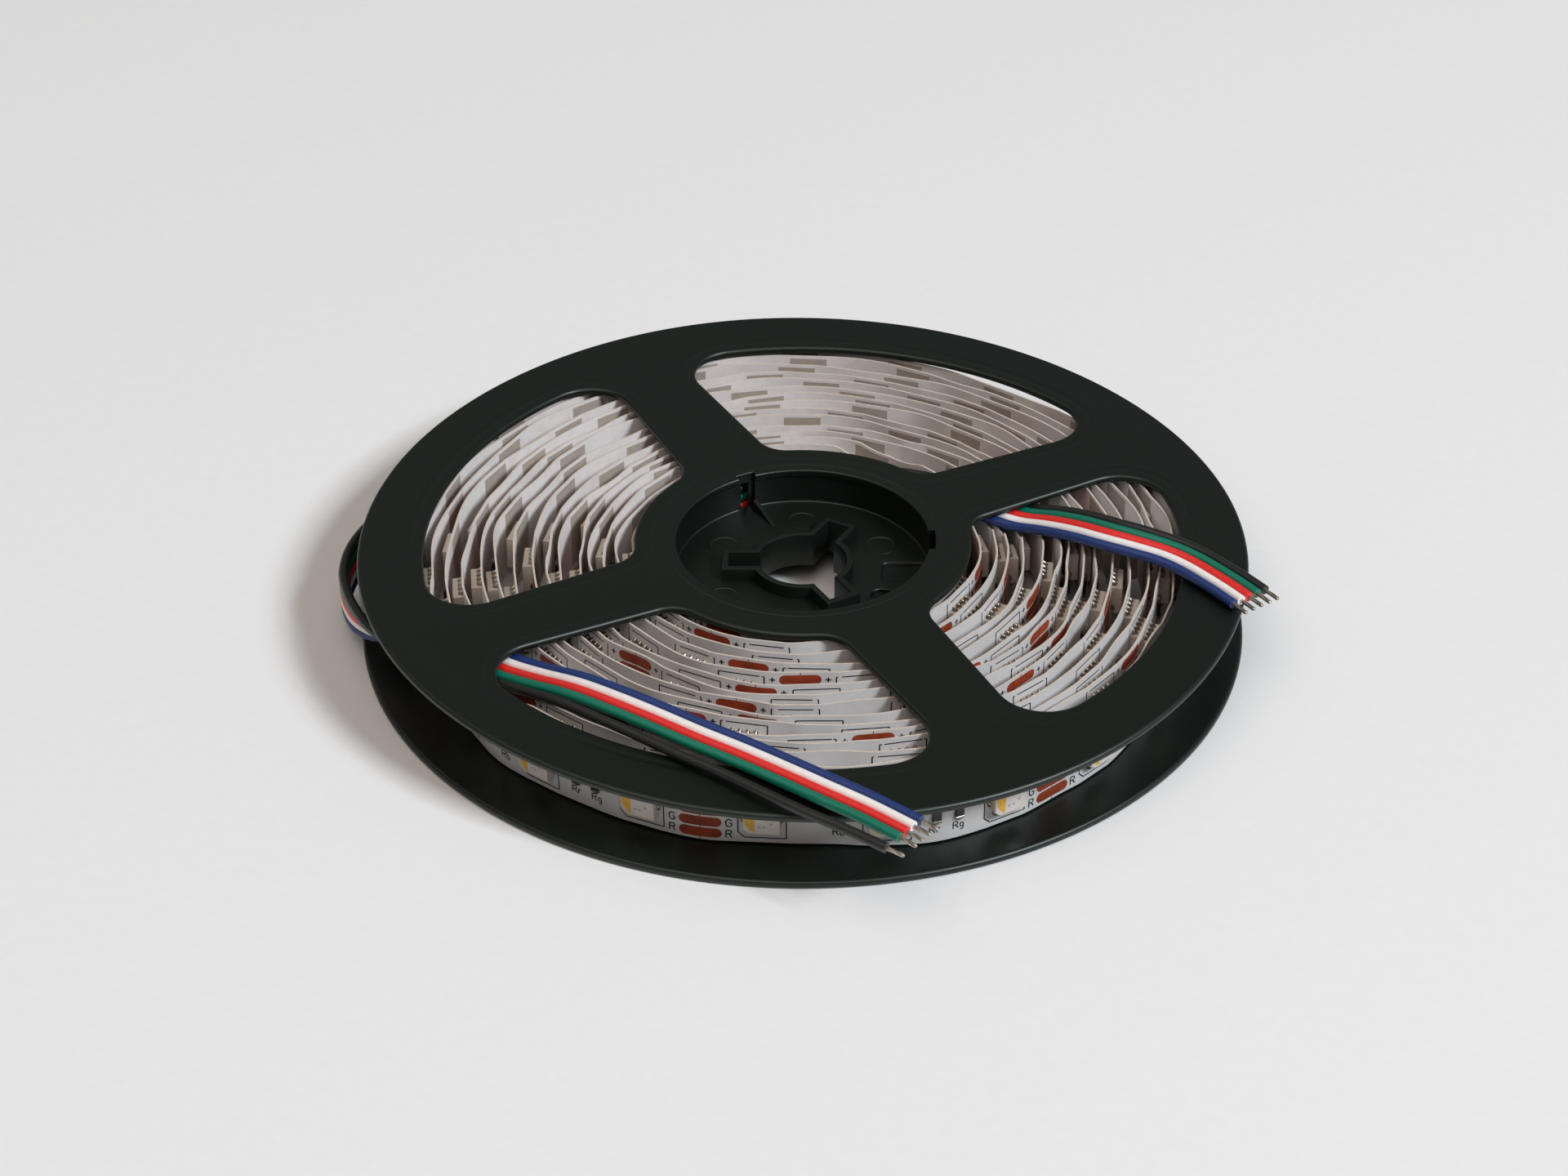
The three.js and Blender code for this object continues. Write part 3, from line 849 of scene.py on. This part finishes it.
def roll_radius(angle):
    """Radius of the strip's inner face in the part's source."""
    turned = angle - ROLL_START
    share = turned / (ROLL_TURNS * TURN)
    bends = WIDE_BEND * np.sin(5 * angle + 1) + SHORT_BEND * np.sin(9 * angle)
    drift = ROLL_OFFSET * share * np.cos(angle - ROLL_OFFSET_AZIMUTH)
    loose = np.clip((turned - ROLL_TURNS * TURN) / LOOSE_END_ANGLE + 1, 0, 1)
    lift = LOOSE_END_LIFT * loose**2 * (3 - 2 * loose)
    return ROLL_INNER_RADIUS + turned / TURN * TURN_PITCH + share * bends + drift + lift


def spread(angle):
    """How far the turns stand out at the left and back, where the photo shows the outer one under the rim."""
    turned = (angle - ROLL_START) / TURN
    total = np.zeros(len(angle))
    for azimuth, reach, distance, last_turn in SPREADS:
        away = np.abs((angle - azimuth + math.pi) % TURN - math.pi) / reach
        near = np.cos(math.pi / 2 * np.minimum(away, 1)) ** 2
        kept = 1 - np.clip((turned - last_turn) / SPREAD_FADE, 0, 1)
        total += distance * (turned / ROLL_TURNS) ** 2 * near * kept**2 * (3 - 2 * kept)
    return total


def led_flats():
    """First and last angle of the flat under each LED, stepped as in the part's source."""
    angle = ROLL_START
    last = ROLL_START + ROLL_TURNS * TURN
    gap = FIRST_LED_GAP
    flats = []
    while angle + LED_PITCH / roll_radius(angle) < last:
        steps = math.ceil(gap / roll_radius(angle) / ROLL_STEP)
        for _ in range(steps):
            angle += gap / steps / roll_radius(angle)
        flats.append((angle, angle + LED_FLAT / roll_radius(angle)))
        angle = flats[-1][1]
        gap = LED_PITCH - LED_FLAT
    return flats


class WoundStrip:
    """The strip's line: where each point along it lies, and which way its outer face looks."""

    def __init__(self, settings):
        angle, loose, ranges = [ROLL_START], [0.0], []
        rng = np.random.default_rng(settings.seed)
        shift = 0.0
        for start, end in led_flats():
            target = rng.uniform(-1, 1) * settings.shift
            bulge = rng.uniform(-1, 0.6) * settings.bulge
            skew = rng.uniform(0.5, 2.0)
            for i in range(1, GAP_POINTS + 1):
                share = i / GAP_POINTS
                bow = bulge * math.sin(math.pi * share**skew) ** 1.3
                angle.append(angle[-1] + (start - angle[-1]) / (GAP_POINTS + 1 - i))
                loose.append(shift + (target - shift) * share + bow)
            shift = target
            ranges.append((len(angle) - 1, len(angle) - 1 + FLAT_POINTS))
            for i in range(1, FLAT_POINTS + 1):
                angle.append(start + (end - start) * i / FLAT_POINTS)
                loose.append(shift)
        angle = np.array(angle)
        on_led = np.zeros(len(angle), bool)
        for first, last in ranges:
            on_led[first : last + 1] = True
        radius = self.settled(angle, np.array(loose), on_led)
        xy = np.c_[radius * np.cos(angle), radius * np.sin(angle)]
        for first, last in ranges:
            share = np.linspace(0, 1, last - first + 1)[:, None]
            xy[first : last + 1] = xy[first] * (1 - share) + xy[last] * share
        self.xy = xy
        step = np.linalg.norm(np.diff(xy, axis=0), axis=1)
        self.along = np.r_[0, np.cumsum(step)]
        run = np.gradient(xy, axis=0)
        run /= np.linalg.norm(run, axis=1)[:, None]
        self.outward = np.c_[run[:, 1], -run[:, 0]]
        self.leds = np.array([(self.along[a] + self.along[b]) / 2 for a, b in ranges])
        self.ranges = ranges
        wave = rng.uniform(0, TURN, 4)
        self.rise = self.wander(settings.rise, RISE_WAVES, wave[:2])
        self.lean = self.wander(settings.lean, LEAN_WAVES, wave[2:])
        self.top = self.room_under_wires()

    def wander(self, size, lengths, phases):
        """A slow drift along the strip, the mean of two waves."""
        return size * sum(np.sin(self.along / length + phase) for length, phase in zip(lengths, phases)) / 2

    def settled(self, angle, loose, on_led):
        """Each turn is pushed off its neighbours where they would meet, and eases between."""
        base = roll_radius(angle) + spread(angle)
        radius = base + loose
        need = FILM_THICKNESS + FILM_GAP + np.where(on_led, LED_HEIGHT, 0)
        inward = np.where(angle < ROLL_START + TURN, -INNER_TURN_PLAY, -INWARD_PLAY)
        for k in range(SETTLING_PASSES):
            ahead = np.interp(angle + TURN, angle, radius, right=1.0)
            short = np.clip(radius + need - ahead, 0, None)
            radius = radius - 0.5 * short + 0.5 * np.interp(angle - TURN, angle, short, left=0)
            off = radius - base
            easing = FIRST_EASING if k < FIRST_PASSES else LAST_EASING
            off[1:-1] += easing * (off[:-2] + off[2:] - 2 * off[1:-1])
            radius = base + np.clip(off, inward, OUTWARD_PLAY)
        return radius

    def room_under_wires(self):
        """Height of the strip's upper edge: it gives way where a lead crosses it under the flange."""
        under, steps = [], 8
        for lead in LEADS.values():
            first, last = lead["crossing"]
            for place in WIRE_PLACES.values():
                under.append(spline(wire_points(lead, place), steps)[first * steps : last * steps])
        under = np.vstack(under)
        radius = WIRE_PITCH / 2
        level = under[:, 2] - radius - WIRE_CLEARANCE
        under, level = under[level < STRIP_HIGH.z], level[level < STRIP_HIGH.z]
        apart = np.linalg.norm(self.xy[:, None] - under[None, :, :2], axis=2)
        ceiling = level[None] + SLOPE_BESIDE_WIRES * np.clip(apart - radius - WIRE_CLEARANCE, 0, None)
        return np.minimum(STRIP_HIGH.z, ceiling.min(axis=1))

    def place(self, along, height, lift):
        """Points at a length along the strip, a height above its lower edge and a lift off its outer face."""
        along, height, lift = np.broadcast_arrays(along, height, lift)
        look = [np.interp(along, self.along, self.outward[:, axis]) for axis in (0, 1)]
        top = np.interp(along, self.along, self.top)
        free = (STRIP_HIGH.z - top) < 0.05 * MM
        z = STRIP_BOTTOM + height * (top - STRIP_BOTTOM) / STRIP_WIDTH
        z = z + np.where(free, np.interp(along, self.along, self.rise), 0) * height / STRIP_WIDTH
        out = FILM_THICKNESS + lift + np.interp(along, self.along, self.lean) * (height / STRIP_WIDTH - 0.5)
        x = np.interp(along, self.along, self.xy[:, 0]) + look[0] * out
        y = np.interp(along, self.along, self.xy[:, 1]) + look[1] * out
        return np.stack([x, y, z], axis=-1)

    def stamp(self, shell, points, faces, kinds, centres):
        """Copies a small shape, drawn as length, height and lift, to each place along the strip."""
        points = np.array(points, float)
        for centre in centres:
            placed = self.place(centre + points[:, 0], STRIP_WIDTH / 2 + points[:, 1], points[:, 2])
            shell.add(placed, faces, kinds)


STRIP = {}


def wound_strip(context):
    """The strip's line, worked out once for all the operators that lay something on it."""
    if "line" not in STRIP:
        STRIP["line"] = WoundStrip(context.scene.led_reel_strip)
    return STRIP["line"]


class Sketch:
    """A small shape in a flat frame: length along the strip, height across it, lift off its outer face."""

    def __init__(self):
        self.points = []
        self.faces = []
        self.kinds = []

    def quad_strip(self, rows):
        """Joins pairs of points, each to the next."""
        start = len(self.points)
        for row in rows:
            self.points.extend(row)
        for a in range(start, start + 2 * len(rows) - 2, 2):
            self.faces.append((a, a + 1, a + 3, a + 2))
            self.kinds.append(0)

    def closed_rings(self, rings, kind):
        """Joins closed rings of points, each to the next, and gives the place of the last one."""
        start, count = len(self.points), len(rings[0])
        for ring in rings:
            self.points.extend(ring)
        faces = ring_faces(start, count, len(rings))
        self.faces.extend(faces)
        self.kinds.extend([kind] * len(faces))
        return len(self.points) - count

    def stroke(self, x0, y0, x1, y1, width, lift, pieces=1):
        """One pen stroke of flat ink."""
        dx, dy = x1 - x0, y1 - y0
        size = math.hypot(dx, dy)
        px, py = -dy / size * width / 2, dx / size * width / 2
        rows = [
            [(x0 + dx * t - px, y0 + dy * t - py, lift), (x0 + dx * t + px, y0 + dy * t + py, lift)]
            for t in (i / pieces for i in range(pieces + 1))
        ]
        self.quad_strip(rows)

    def block(self, outline, high, kind, rim):
        """A block on the film with a bevelled top; its outline is counterclockwise."""
        count = len(outline)
        cx = sum(p[0] for p in outline) / count
        cy = sum(p[1] for p in outline) / count

        def inset(value, centre):
            reach = abs(value - centre)
            return centre + (value - centre) * (1 - rim / reach) if reach > rim else value

        rings = [
            at_height(outline, 0),
            at_height(outline, high - rim),
            [(inset(x, cx), inset(y, cy), high) for x, y in outline],
        ]
        top = self.closed_rings(rings, kind)
        self.faces.append(tuple(top + i for i in range(count)))
        self.kinds.append(kind)

    def dome(self, x, y, wide, tall, high, kind=0):
        """A rounded fillet of solder."""
        sides = 8
        angles = [TURN * i / sides for i in range(sides)]
        rings = [
            [(x + wide * share * math.cos(a), y + tall * share * math.sin(a), high * up) for a in angles]
            for share, up in ((1.0, 0.0), (0.86, 0.5), (0.5, 0.87))
        ]
        last = self.closed_rings(rings, kind)
        self.points.append((x, y, high))
        self.faces.extend((last + i, last + (i + 1) % sides, last + sides) for i in range(sides))
        self.kinds.extend([kind] * sides)

    def stamp(self, strip, shell, centres):
        """Copies the shape to each place along the strip."""
        strip.stamp(shell, self.points, self.faces, self.kinds, centres)


class FilmOperator(bpy.types.Operator):
    """Makes the strip's film: white printed face, tan cut edges and liner back with the pads' shadows"""

    bl_idname = "led_reel.film"
    bl_label = "Strip film"

    def execute(self, context):
        strip = wound_strip(context)
        # Height and lift of each line along the film, round its section, with the kind of the face after it
        section = [
            (0.0, 0.0, 0),
            (STRIP_WIDTH / 2, 0.0, 0),
            (STRIP_WIDTH, 0.0, 0),
            (STRIP_WIDTH, -(FILM_THICKNESS - FILM_CORE) / 2, 2),
            (STRIP_WIDTH, -(FILM_THICKNESS + FILM_CORE) / 2, 0),
            (STRIP_WIDTH, -FILM_THICKNESS, 1),
            (STRIP_WIDTH - SHADOW_TOP, -FILM_THICKNESS, 3),
            (SHADOW_BOTTOM, -FILM_THICKNESS, 1),
            (0.0, -FILM_THICKNESS, 2),
        ]
        heights = np.array([row[0] for row in section])
        lifts = np.array([row[1] for row in section])
        points = strip.place(strip.along[:, None], heights[None], lifts[None]).reshape(-1, 3)
        count = len(section)
        over_led = np.zeros(len(strip.along), bool)
        for first, last in strip.ranges:
            over_led[first:last] = True
        faces, kinds = [], []
        for k in range(len(strip.along) - 1):
            for i, (_, _, kind) in enumerate(section):
                a, b = k * count + i, k * count + (i + 1) % count
                faces.append((a, a + count, b + count, b))
                # Kind 3, the back behind each LED, is the copper seen through the film with painted shade;
                # elsewhere that band is plain liner
                kinds.append(1 if kind == 3 and not over_led[k] else kind)
        last = (len(strip.along) - 1) * count
        faces.append(tuple(range(count)))
        faces.append(tuple(last + i for i in reversed(range(count))))
        kinds.extend([0, 0])
        shell = Shell()
        shell.add(points, faces, kinds)
        film = shell.piece("wound_film", [solder_mask(), film_back(), film_edge(), film_back_over_pads_with_shade()])
        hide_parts("led_strip")
        return {"FINISHED"}


def chamfered(half, cut):
    """Outline of the LED: a square with the corner cut that marks its first pin."""
    return [(-half + cut, -half), (half, -half), (half, half), (-half, half), (-half, -half + cut)]


class LedsOperator(bpy.types.Operator):
    """Makes the LEDs: beige housings with a frosted window and a yellow phosphor field"""

    bl_idname = "led_reel.leds"
    bl_label = "LEDs"

    def execute(self, context):
        strip = wound_strip(context)
        half = LED_SIZE / 2
        led = Sketch()
        led.block(chamfered(half, 0.7 * MM), LED_HEIGHT, 0, rim=0.12 * MM)
        cup = 2.3 * MM
        divider = (-0.9 * MM, -0.78 * MM)
        skin = LED_HEIGHT + 0.01 * MM
        left, right = (math.acos(x / cup) for x in divider)
        for kind, start_angle, end_angle in ((2, left, TURN - left), (1, -right, right)):
            field = arc(0, 0, cup, start_angle, end_angle, 14)
            start = len(led.points)
            led.points.extend((x, y, skin) for x, y in field)
            led.faces.append(tuple(start + i for i in range(len(field))))
            led.kinds.append(kind)
        half_chip = 0.2
        for x, y in ((-0.3, -1.2), (0.4, -1.2), (1.3, -0.6), (0.1, 0.6)):
            low, high = (y - half_chip) * MM, (y + half_chip) * MM
            led.stroke(x * MM, low, x * MM, high, 2 * half_chip * MM, skin + 0.01 * MM)
            led.kinds[-1] = 3
        shell = Shell()
        led.stamp(strip, shell, strip.leds)
        piece = shell.piece("leds", [housing(), clear_resin(), phosphor(), colour_chip()], closed=False)
        return {"FINISHED"}


class SolderOperator(bpy.types.Operator):
    """Makes the solder fillets round each LED"""

    bl_idname = "led_reel.solder"
    bl_label = "Solder"

    def execute(self, context):
        strip = wound_strip(context)
        joints = Sketch()
        reach = LED_SIZE / 2 + 0.12 * MM
        for x in (-1.65, -0.55, 0.55, 1.65):
            for side in (-1, 1):
                joints.dome(x * MM, side * reach, 0.4 * MM, 0.72 * MM, 0.75 * MM)
        for side in (-1, 1):
            joints.dome(side * (LED_SIZE / 2 + 0.1 * MM), -0.9 * MM, 0.3 * MM, 0.7 * MM, 0.5 * MM)
        shell = Shell()
        joints.stamp(strip, shell, strip.leds)
        piece = shell.piece("led_solder", [solder()], smooth_below=70, closed=False)
        return {"FINISHED"}


PAD_HEIGHTS = [3.75 * MM, 1.88 * MM, 0.0, -1.88 * MM, -3.75 * MM]
PAD_LENGTH = 5.9 * MM
PAD_WIDTH = 1.6 * MM
PAD_LABELS = "+WBGR"
LETTER_HEIGHT = 1.2 * MM
LETTER_REACH = 3.9 * MM
PAD_LIFT = 0.012 * MM
PRINT_LIFT = 0.02 * MM
# The first span between LEDs, counted from 0, that has the cut pads; every third one has them
PAD_PHASE = 1
RESISTOR_MARK_LEVEL = -2.9 * MM
RESISTOR_MARK_HEIGHT = 1.1 * MM

# Pen lines of the generic pad and part marks, each through its points, on a grid 4 wide and 6 high
LETTERS = {
    "+": [[(0, 3), (4, 3)], [(2, 1), (2, 5)]],
    "W": [[(0, 6), (1, 0), (2, 4.5), (3, 0), (4, 6)]],
    "B": [
        [(0, 0), (0, 6), (3, 6), (3.8, 5), (3, 3.2)],
        [(0, 3.2), (3, 3.2), (4, 1.8), (3, 0), (0, 0)],
    ],
    "G": [[(4, 4.8), (3, 6), (1.2, 6), (0, 4.5), (0, 1.5), (1.2, 0), (3, 0), (4, 1.2), (4, 2.8), (2.3, 2.8)]],
    "R": [[(0, 0), (0, 6), (3, 6), (4, 4.7), (3, 3.2), (0, 3.2)], [(2, 3.2), (4, 0)]],
    "r": [[(0, 0), (0, 4)], [(0, 3), (1, 4), (2.4, 3.8)]],
    "g": [
        [(2.6, 4), (0.4, 4), (0, 2), (0.6, 0.6), (2.6, 1)],
        [(2.6, 4), (2.6, -1), (1.4, -2), (0.2, -1.4)],
    ],
    "b": [[(0, 6), (0, 0), (2.2, 0), (2.8, 2), (2.2, 3.8), (0, 3.6)]],
}


def letter(sketch, glyph, x, y, height):
    """Draws one mark centred on a point."""
    unit = height / 6
    for line in LETTERS[glyph]:
        places = [(x + (column - 2) * unit, y + (row - 3) * unit) for column, row in line]
        for start, end in zip(places, places[1:]):
            sketch.stroke(*start, *end, unit, PRINT_LIFT)


def pad_spans(strip):
    """Middles of the spans between LEDs: those with the cut pads, with one resistor and with two."""
    middles = (strip.leds[:-1] + strip.leds[1:]) / 2
    return [middles[(PAD_PHASE + k) % 3 :: 3] for k in range(3)]


class PadsOperator(bpy.types.Operator):
    """Makes the bare copper pads at each cut line"""

    bl_idname = "led_reel.pads"
    bl_label = "Cut pads"

    def execute(self, context):
        strip = wound_strip(context)
        pad = Sketch()
        straight = PAD_LENGTH / 2 - PAD_WIDTH / 2
        for middle in PAD_HEIGHTS:
            rows = []
            for i in range(-10, 11):
                x = PAD_LENGTH / 2 * math.sin(math.pi / 2 * i / 10)
                over = max(0.0, abs(x) - straight)
                half = math.sqrt(max(0.0, (PAD_WIDTH / 2) ** 2 - over**2))
                rows.append([(x, middle + half, PAD_LIFT), (x, middle - half, PAD_LIFT)])
            pad.quad_strip(rows[::-1])
        shell = Shell()
        pad.stamp(strip, shell, pad_spans(strip)[0])
        shell.piece("cut_pads", [bare_copper()], closed=False)
        return {"FINISHED"}


class PrintOperator(bpy.types.Operator):
    """Prints the LED outlines, the cut lines, the pads' letters and the resistors' marks"""

    bl_idname = "led_reel.print"
    bl_label = "Print"

    def execute(self, context):
        strip = wound_strip(context)
        shell = Shell()
        frame_mark = Sketch()
        wide, tall, cut, pen = 3.25 * MM, 4.2 * MM, 0.9 * MM, 0.18 * MM
        top_left, top_right, bottom_right = (-wide, tall), (wide, tall), (wide, -tall)
        corners = (top_left, top_right, bottom_right, (-wide + cut, -tall), (-wide, -tall + cut), top_left)
        # The two sides that run along the strip are drawn in pieces, to bend with it
        for start, end, pieces in zip(corners, corners[1:], (6, 1, 6, 1, 1)):
            frame_mark.stroke(*start, *end, pen, PRINT_LIFT, pieces)
        frame_mark.stamp(strip, shell, strip.leds)
        pads, single, double = pad_spans(strip)
        marks = Sketch()
        for y, glyph in zip(PAD_HEIGHTS, PAD_LABELS):
            for side in (-1, 1):
                letter(marks, glyph, side * LETTER_REACH, y, LETTER_HEIGHT)
        for y in (4.75, 2.78, 0.93, -0.93, -2.78, -4.75):
            marks.stroke(0, (y + 0.18) * MM, 0, (y - 0.18) * MM, 0.1 * MM, PRINT_LIFT)
        marks.stamp(strip, shell, pads)
        for spans, labels in ((single, ((1.5, "b"),)), (double, ((-2.4, "r"), (0.9, "g")))):
            label = Sketch()
            for x, glyph in labels:
                letter(label, "R", x * MM, RESISTOR_MARK_LEVEL, RESISTOR_MARK_HEIGHT)
                letter(label, glyph, (x + 1) * MM, RESISTOR_MARK_LEVEL, RESISTOR_MARK_HEIGHT)
            label.stamp(strip, shell, spans)
        shell.piece("strip_print", [print_ink()], closed=False)
        return {"FINISHED"}


class ResistorsOperator(bpy.types.Operator):
    """Makes the chip resistors that stand across the strip between LEDs"""

    bl_idname = "led_reel.resistors"
    bl_label = "Resistors"

    def execute(self, context):
        strip = wound_strip(context)
        _, single, double = pad_spans(strip)
        shell = Shell()
        half, tall, end = 0.62 * MM, 1.6 * MM, 0.4 * MM
        glass_height, end_height = 0.5 * MM, 0.55 * MM
        sections = (
            (-tall, -tall + end, end_height, 1),
            (-tall + end, tall - end, glass_height, 0),
            (tall - end, tall, end_height, 1),
        )
        for xs, centres in (((2.0,), single), ((-1.9, 1.3), double)):
            chip = Sketch()
            for x in xs:
                left, right = x * MM - half, x * MM + half
                for low, high, height, kind in sections:
                    outline = [(left, low), (right, low), (right, high), (left, high)]
                    chip.block(outline, height, kind, rim=0.06 * MM)
                for side in (-1, 1):
                    chip.dome(x * MM, side * (tall + 0.1 * MM), half, 0.4 * MM, 0.4 * MM, 1)
            chip.stamp(strip, shell, centres)
        shell.piece("resistors", [chip_body(), solder()], closed=False)
        return {"FINISHED"}


# Stage


class StageOperator(bpy.types.Operator):
    """Makes the pale floor, the soft lights and the photograph's camera"""

    bl_idname = "led_reel.stage"
    bl_label = "Stage"

    def execute(self, context):
        settings = context.scene.led_reel_stage
        scene = context.scene
        scene.view_settings.view_transform = "Standard"

        camera = bpy.data.objects.new("photo_camera", bpy.data.cameras.new("photo_camera"))
        camera.data.lens = FOCAL_LENGTH
        camera.data.clip_start = 0.01
        back = Vector((0, -math.cos(CAMERA_ELEVATION), math.sin(CAMERA_ELEVATION)))
        turn = (-back).to_track_quat("-Z", "Y").to_matrix() @ Matrix.Rotation(CAMERA_ROLL, 3, "Z")
        camera.matrix_world = Matrix.Translation(CAMERA_AIM + back * CAMERA_DISTANCE) @ turn.to_4x4()
        scene.collection.objects.link(camera)
        scene.camera = camera

        mesh = bpy.data.meshes.new("paper_floor")
        reach = 3.0
        corners = [(-reach, -reach, 0), (reach, -reach, 0), (reach, reach, 0), (-reach, reach, 0)]
        mesh.from_pydata(corners, [], [(0, 1, 2, 3)])
        paper = hex_of(settings.paper_colour)
        mesh.materials.append(surface("backdrop_paper", paper, 0.9, 2 * MM, 0.01 * MM, 0.01))
        floor = bpy.data.objects.new("paper_floor", mesh)
        scene.collection.objects.link(floor)

        # Each lamp's place and size in metres, power and colour
        lamps = (
            ("window_light", (2.2, -1.43, 2.38), 0.84, settings.key_power, settings.key_colour),
            ("overhead_light", (-0.5, -1.1, 2.5), 2.4, settings.fill_power, settings.fill_colour),
            ("room_light", (-1.2, 0.9, 2.2), 1.2, settings.room_power, settings.fill_colour),
        )
        for name, place, size, power, colour in lamps:
            lamp = bpy.data.lights.new(name, "AREA")
            lamp.size = size
            lamp.energy = power
            lamp.color = linear(hex_of(colour))[:3]
            holder = bpy.data.objects.new(name, lamp)
            holder.location = place
            holder.rotation_euler = Vector(place).to_track_quat("Z", "Y").to_euler()
            scene.collection.objects.link(holder)

        world = bpy.data.worlds.new("studio")
        world.use_nodes = True
        backdrop = world.node_tree.nodes["Background"].inputs
        backdrop["Color"].default_value = linear(paper)
        backdrop["Strength"].default_value = settings.world_strength
        scene.world = world
        return {"FINISHED"}


# Settings


def number(name, description, default, unit="NONE"):
    """A number that a user may change."""
    return bpy.props.FloatProperty(name=name, description=description, default=default, unit=unit)


def srgb(name, description, default):
    """A colour that a user may change, as sRGB."""
    return bpy.props.FloatVectorProperty(
        name=name, description=description, default=default, subtype="COLOR_GAMMA"
    )


class HalvesSettings(bpy.types.PropertyGroup):
    edge_rounding: number("Edge rounding", "Radius of the moulded edges", 0.55 * MM, "LENGTH")
    groove_depth: number("Groove depth", "Depth of the soft groove beside each window", 0.08 * MM, "LENGTH")
    abs_colour: srgb("ABS colour", "Colour of the mouldings, as sRGB", (0.02, 0.052, 0.03))


class LeadSettings(bpy.types.PropertyGroup):
    wire_diameter: number("Wire diameter", "Diameter over the insulation", 1.46 * MM, "LENGTH")
    black: srgb("Black wire", "Insulation colour, as sRGB", (0.1, 0.105, 0.1))
    green: srgb("Green wire", "Insulation colour, as sRGB", (0.0, 0.44, 0.345))
    red: srgb("Red wire", "Insulation colour, as sRGB", (0.86, 0.16, 0.14))
    white: srgb("White wire", "Insulation colour, as sRGB", (0.93, 0.91, 0.89))
    blue: srgb("Blue wire", "Insulation colour, as sRGB", (0.1, 0.2, 0.42))


class StripSettings(bpy.types.PropertyGroup):
    bulge: number("Bulge", "How far the film may bow between two LEDs", 1.7 * MM, "LENGTH")
    shift: number("Shift", "How far an LED may stand off its even place", 0.6 * MM, "LENGTH")
    rise: number("Rise", "How far the upper edge wanders up and down", 0.15 * MM, "LENGTH")
    lean: number("Lean", "How far the upper edge leans in or out", 0.35 * MM, "LENGTH")
    seed: bpy.props.IntProperty(name="Seed", description="Start of the draws that bow the film", default=7)


class StageSettings(bpy.types.PropertyGroup):
    paper_colour: srgb("Paper colour", "Colour of the floor, as sRGB", (0.9, 0.9, 0.89))
    key_power: number("Window light", "Power of the light at the front right", 117.0, "POWER")
    key_colour: srgb("Window colour", "Colour of the light at the front right, as sRGB", (0.935, 0.965, 1.0))
    fill_power: number("Overhead light", "Power of the light above", 30.0, "POWER")
    fill_colour: srgb("Overhead colour", "Colour of the two other lights, as sRGB", (1.0, 0.935, 0.895))
    room_power: number("Room light", "Power of the weak light at the back left", 3.0, "POWER")
    world_strength: number("Surrounding light", "Strength of the even light all round", 0.19)


OPERATORS = (
    StageOperator,
    LeadsOperator,
    HalvesOperator,
    FilmOperator,
    LedsOperator,
    SolderOperator,
    PadsOperator,
    PrintOperator,
    ResistorsOperator,
)
SETTINGS = {
    "led_reel_stage": StageSettings,
    "led_reel_leads": LeadSettings,
    "led_reel_halves": HalvesSettings,
    "led_reel_strip": StripSettings,
}


class ReelPanel(bpy.types.Panel):
    """Lists the reel's settings and the operators that make its pieces"""

    bl_idname = "VIEW3D_PT_led_reel"
    bl_label = "LED strip light reel"
    bl_space_type = "VIEW_3D"
    bl_region_type = "UI"
    bl_category = "LED reel"

    def draw(self, context):
        for name, group in SETTINGS.items():
            box = self.layout.box()
            for field in group.__annotations__:
                box.prop(getattr(context.scene, name), field)
        for operator in OPERATORS:
            self.layout.operator(operator.bl_idname)


def register():
    for cls in (*SETTINGS.values(), *OPERATORS, ReelPanel):
        bpy.utils.register_class(cls)
    for name, group in SETTINGS.items():
        setattr(bpy.types.Scene, name, bpy.props.PointerProperty(type=group))


def unregister():
    for name in SETTINGS:
        delattr(bpy.types.Scene, name)
    for cls in reversed((*SETTINGS.values(), *OPERATORS, ReelPanel)):
        bpy.utils.unregister_class(cls)


def main():
    register()
    bpy.ops.led_reel.stage()
    bpy.ops.led_reel.leads()
    bpy.ops.led_reel.halves()
    bpy.ops.led_reel.film()
    bpy.ops.led_reel.leds()
    bpy.ops.led_reel.solder()
    bpy.ops.led_reel.pads()
    bpy.ops.led_reel.print()
    bpy.ops.led_reel.resistors()


if __name__ == "__main__":
    main()
